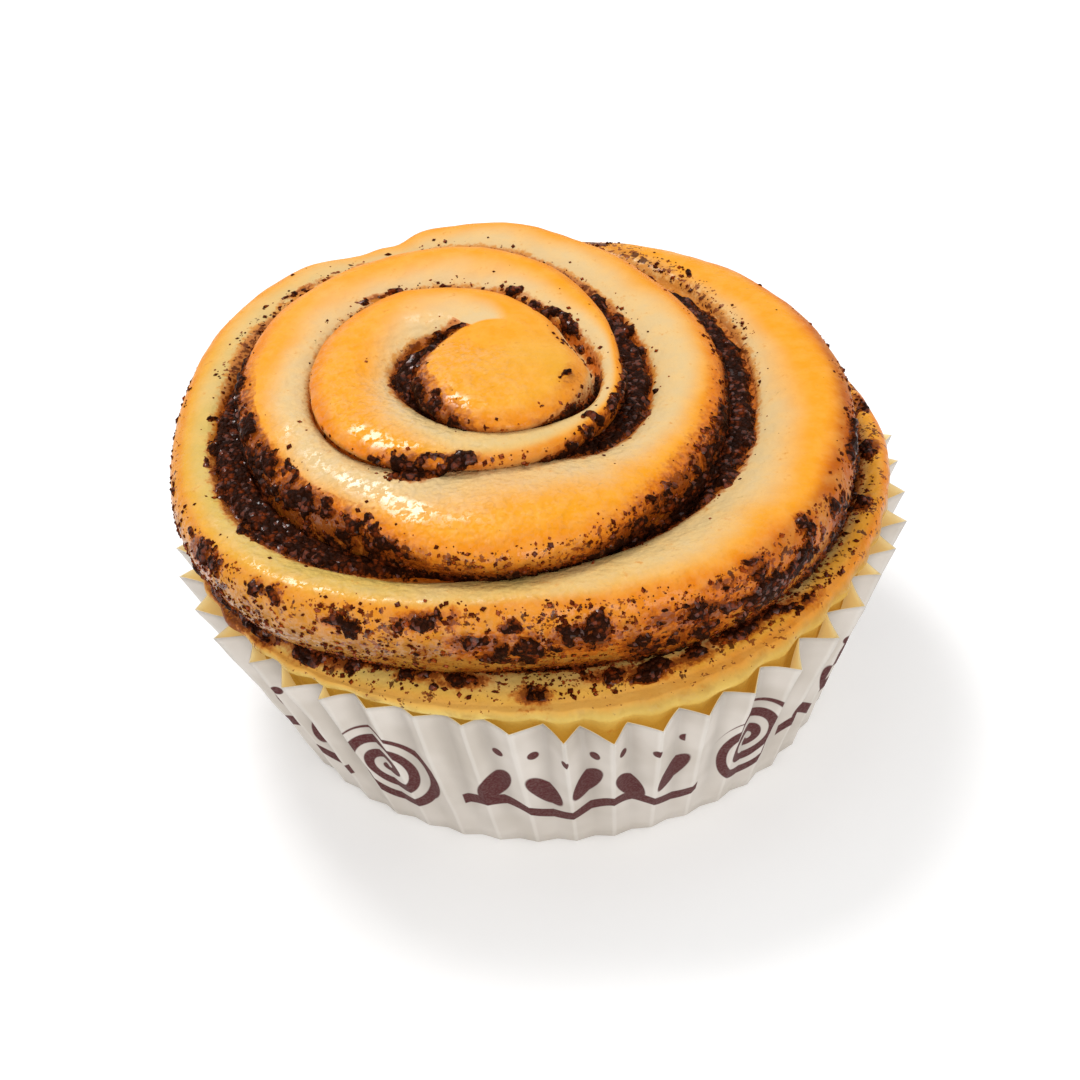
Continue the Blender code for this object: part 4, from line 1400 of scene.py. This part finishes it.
wrinkles = crust.noise(1.2, 1.0, 0.5)
shiny = crust.noise(0.75, 2.0, 0.6, 0.8) + (wrinkles - 0.5) * 0.6
skin_height = medium * 0.3 + fine * 0.06 + wrinkles * gloss * 0.6
crust.feed(
    Base_Color=crust.painted,
    Roughness=0.5 + fine * 0.08 - gloss * 0.2,
    Coat_Weight=gloss * crust.step(shiny, 0.45, 0.58),
    Coat_Roughness=0.18,
    Specular_IOR_Level=0.12,
    Specular_Tint=WARM_GLINT,
    Emission_Color=crust.mix(BLACK, WARM_CREASE, crevice * clean_shelf),
    Emission_Strength=0.3,
    Normal=crust.bump(skin_height, 0.9),
)
bun.data.materials.append(crust.material)
print("crust nodes:", len(crust.tree.nodes))

# %% [markdown]
# ## Filling and grains
#
# The filling is ground cinnamon and sugar, baked nearly black, with redder grains in it.
# A texture of cells is the right pattern for grains: every cell has a colour of its own,
# and the distance to its middle gives it a round back; on the filling the gaps between
# the cells also get painted shade. Where the sheet thins out at its rim it takes on the
# burnt orange of the crust. Filling and grains share one function.

# %% Filling and grain materials
DARK_FILLING, WARM_FILLING, GRAIN_GAP_SHADE, THIN_RIM = "#2E1105", "#78300C", "#120602", "#8A400E"
DARK_GRAIN, WARM_GRAIN = "#541C06", "#A04410"
CINNAMON_GRAIN, CINNAMON_GLINT = 0.62, (0.8, 0.5, 0.4, 1.0)


def cinnamon(name, dark, warm, tint_share, target):
    """Moist ground cinnamon: nearly black grains, some of them warm, with small glints."""
    finish = Finish(name, dark)
    to_middle = finish.cells(CINNAMON_GRAIN, "Distance")
    own = finish.cells(CINNAMON_GRAIN, "Color")
    patch = finish.noise(1.8, 3.0, 0.6)
    tint = finish.value("tint") * tint_share
    finish.paint(warm, finish.step(own * 0.5 + patch * 0.8 + tint, 0.68, 0.92))
    if target is filling:
        thin = finish.value("cover") + (finish.noise(0.5, 2.0, 0.6) - 0.5) * 2.4
        # Painted shade: the gaps between the cells are darkened.
        finish.paint(GRAIN_GAP_SHADE, finish.step(to_middle, 0.3, 0.65) * 0.6)
        finish.paint(THIN_RIM, (1 - finish.step(thin, -0.1, 0.25)) * 0.75)
    finish.feed(
        Base_Color=finish.painted,
        Roughness=0.55,
        Coat_Weight=finish.step(own, 0.7, 0.78) * 0.6,
        Coat_Roughness=0.16,
        Specular_IOR_Level=0.08,
        Specular_Tint=CINNAMON_GLINT,
        Normal=finish.bump(finish.noise(0.25) * 0.35 - to_middle, 0.4),
    )
    target.data.materials.append(finish.material)
    print(name, "nodes:", len(finish.tree.nodes))


cinnamon("filling", DARK_FILLING, WARM_FILLING, 0.1, filling)
cinnamon("grains", DARK_GRAIN, WARM_GRAIN, 0.35, crumbs)

# %% [markdown]
# ## Paper
#
# The sheet is off-white, with painted shade in its inward folds and a painted highlight
# along its outward folds; the greaseproof inside is yellow with butter. It's lit from
# within a little, as thin paper lets light through. The print needs a flat coordinate
# that runs along the sheet, as if the pleats were pulled out, and the mesh brings the
# difference between that and the plain angle.

# %% The sheet's own colour
SHEET, SHEET_SHADE, FOLD_SHADE, CREST_HIGHLIGHT = "#D2CAC1", "#C3BAAF", "#9C9389", "#E4DED6"

look = Finish("paper", SHEET)
inner = look.value("inner")
valley = look.value("valley")
place_x, place_y, place_z = (
    look.node("ShaderNodeSeparateXYZ", None, {0: look.position}, axis) for axis in range(3)
)
up_sheet = place_z / MM
round_case = look.math("ARCTAN2", place_y, place_x) * (PRINT_ROUND / (2 * math.pi))
along_sheet = round_case + look.value("folded")
cloud = look.noise(9.0)
fibre = look.noise(0.35, 3.0, 0.7)
look.paint(SHEET_SHADE, look.step(cloud, 0.3, 0.7))
# Painted shade darkens the inward folds, and a painted highlight lightens the outward folds.
fold_shade_share = look.step(valley + (cloud - 0.5) * 0.5, 0.35, 1.0) * look.step(up_sheet, 2.0, 14.0)
look.paint(FOLD_SHADE, fold_shade_share * 0.45)
look.paint(CREST_HIGHLIGHT, look.step(valley, 0.16, 0.04) * 0.35)
print("paper nodes so far:", len(look.tree.nodes))

# %% [markdown]
# The print is a plain pattern of swirls, leaves, a ribbon and dots in one dark colour.
# Each shape is a distance: ink is laid where the distance is smaller than a size. Printed
# shapes are joined with the larger of two values, like stamps on top of each other.

# %% The print
INK, INK_SOFTNESS, REPEAT = "#4E191A", 0.12, 72.0
SWIRL_PITCH, SWIRL_SIZE, SWIRL_LINE = 3.4, 9.0, 0.95
RIBBON_AT, RIBBON_UP, RIBBON_HALF, RIBBON_LINE = 36.0, 9.0, 24.0, 1.1
RIBBON_WAVE, RIBBON_SWING = 4.0, 1.8
LEAVES = ((18, 14.5, 0.9), (27, 13.5, 2.2), (36, 15.5, 0.9), (45, 13.5, 2.2), (54, 14.5, 0.9))
LEAF_LENGTH, LEAF_WIDTH = 4.6, 1.9
DOT_SPACING, DOT_UP, DOT_SIZE, DOTS_HALF = 6.0, 22.5, 0.9, 20.0


def spot_of(centre_u, centre_v, repeat=REPEAT):
    """Distances along and up from a place that comes back every so many millimetres."""
    return (along_sheet - centre_u + repeat / 2) % repeat - repeat / 2, up_sheet - centre_v


def ink(distance, size):
    """1 where a distance is smaller than a size, with a soft rim."""
    return 1 - look.step(distance, size - INK_SOFTNESS, size + INK_SOFTNESS)


def hypot(u, v):
    return look.math("SQRT", u * u + v * v)


def leaf(centre_u, centre_v, turn):
    u, v = spot_of(centre_u, centre_v)
    along_leaf = (u * math.cos(turn) + v * math.sin(turn)) / LEAF_LENGTH
    across_leaf = (v * math.cos(turn) - u * math.sin(turn)) / LEAF_WIDTH
    return ink(hypot(along_leaf, across_leaf) * LEAF_WIDTH, LEAF_WIDTH)


u, v = spot_of(0.0, 13.5)
from_swirl = hypot(u, v)
wound = from_swirl - look.math("ARCTAN2", v, u) * (SWIRL_PITCH / (2 * math.pi))
swirl = ink(abs(wound % SWIRL_PITCH - SWIRL_PITCH / 2), SWIRL_LINE) * ink(from_swirl, SWIRL_SIZE)
u, v = spot_of(RIBBON_AT, RIBBON_UP)
from_ribbon = abs(v - look.math("SINE", u / RIBBON_WAVE) * RIBBON_SWING)
ribbon = ink(from_ribbon, RIBBON_LINE) * ink(abs(u), RIBBON_HALF)
dots = ink(hypot(*spot_of(2.0, DOT_UP, DOT_SPACING)), DOT_SIZE) * ink(abs(u), DOTS_HALF)
printed = swirl
for motif in (ribbon, dots, *(leaf(*row) for row in LEAVES)):
    printed = look.math("MAXIMUM", printed, motif)
look.paint(INK, printed * (0.93 + 0.07 * look.step(fibre, 0.35, 0.6)))
print("paper nodes with the print:", len(look.tree.nodes))

# %% [markdown]
# Last comes the side that faces the dough. The mesh marks it with a value, so that one
# material does for both sides of the sheet. The fibres are too small to be modelled, and
# a fine bump stands for them.

# %% The paper's finish
GREASE, DEEP_GREASE, DRY_RIM, SHINING_THROUGH = "#E6D29A", "#D6B66E", "#E4DCBC", "#D8C284"

grease = look.mix(GREASE, DEEP_GREASE, look.step(cloud, 0.35, 0.65))
dry = look.step(up_sheet + (cloud - 0.5) * 6, 26.0, 29.0)
look.paint(look.mix(grease, DRY_RIM, dry * 0.8), inner)
look.feed(
    Base_Color=look.painted,
    Emission_Color=look.mix(BLACK, SHINING_THROUGH, inner),
    Emission_Strength=0.42,
    Roughness=0.62,
    Specular_IOR_Level=0.2,
    Normal=look.bump(fibre, 0.05, 0.5),
)
paper.data.materials.append(look.material)
print("paper nodes:", len(look.tree.nodes))

# %% [markdown]
# ## Hand the pieces to the frame
#
# Each looks piece rides on the root of the plain model and stands in for one of its
# nodes. The grains have no node of their own and ride on the root as well.

# %% Ride and replace
for piece, node in ((bun, "dough"), (filling, "filling"), (paper, "paper_case")):
    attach(piece, "root")
    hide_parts(node)
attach(crumbs, "root")
print("pieces:", [piece.name for piece in (bun, filling, paper, crumbs)])

# %% [markdown]
# ## A plain studio
#
# A pale floor, a bright even world and two soft boxes: one high at the back left, which
# puts the glints on the front of the turns, and a weak one in front that opens up the
# shadows on the paper.

# %% Floor, world and lights
WHITE = (1.0, 1.0, 1.0, 1.0)
FLOOR_WIDTH, FLOOR_GREY, FLOOR_GLOW, WORLD_LIGHT = 4.0, 0.93, 0.16, 0.74
LIT_FROM_BEHIND = {"place_at": (-0.24, 0.34, 0.75), "size": 0.26, "power": 3.1}
LIT_FROM_FRONT = {"place_at": (0.25, -0.75, 0.35), "size": 0.6, "power": 2.0}
MIDDLE_OF_ROLL = Vector((0, 0, 0.03))

bpy.ops.mesh.primitive_plane_add(size=FLOOR_WIDTH, location=(0, 0, 0))
floor = bpy.context.object
floor.name = "floor"
floor_look = Finish("floor")
floor_look.feed(
    Base_Color=(FLOOR_GREY, FLOOR_GREY, FLOOR_GREY, 1.0),
    Roughness=0.8,
    Emission_Color=WHITE,
    Emission_Strength=FLOOR_GLOW,
)
floor.data.materials.append(floor_look.material)

world = bpy.data.worlds.new("studio")
world.use_nodes = True
background = world.node_tree.nodes["Background"]
background.inputs["Color"].default_value = WHITE
background.inputs["Strength"].default_value = WORLD_LIGHT
SCENE.world = world
SCENE.view_settings.view_transform = "Standard"


def softbox(name, place_at, size, power):
    """Square soft light that looks at the roll."""
    light = bpy.data.lights.new(name, "AREA")
    light.size = size
    light.energy = power
    lamp = bpy.data.objects.new(name, light)
    lamp.location = place_at
    lamp.rotation_mode = "QUATERNION"
    lamp.rotation_quaternion = (MIDDLE_OF_ROLL - Vector(place_at)).to_track_quat("-Z", "Y")
    SCENE.collection.objects.link(lamp)


softbox("key", **LIT_FROM_BEHIND)
softbox("front fill", **LIT_FROM_FRONT)

# %% [markdown]
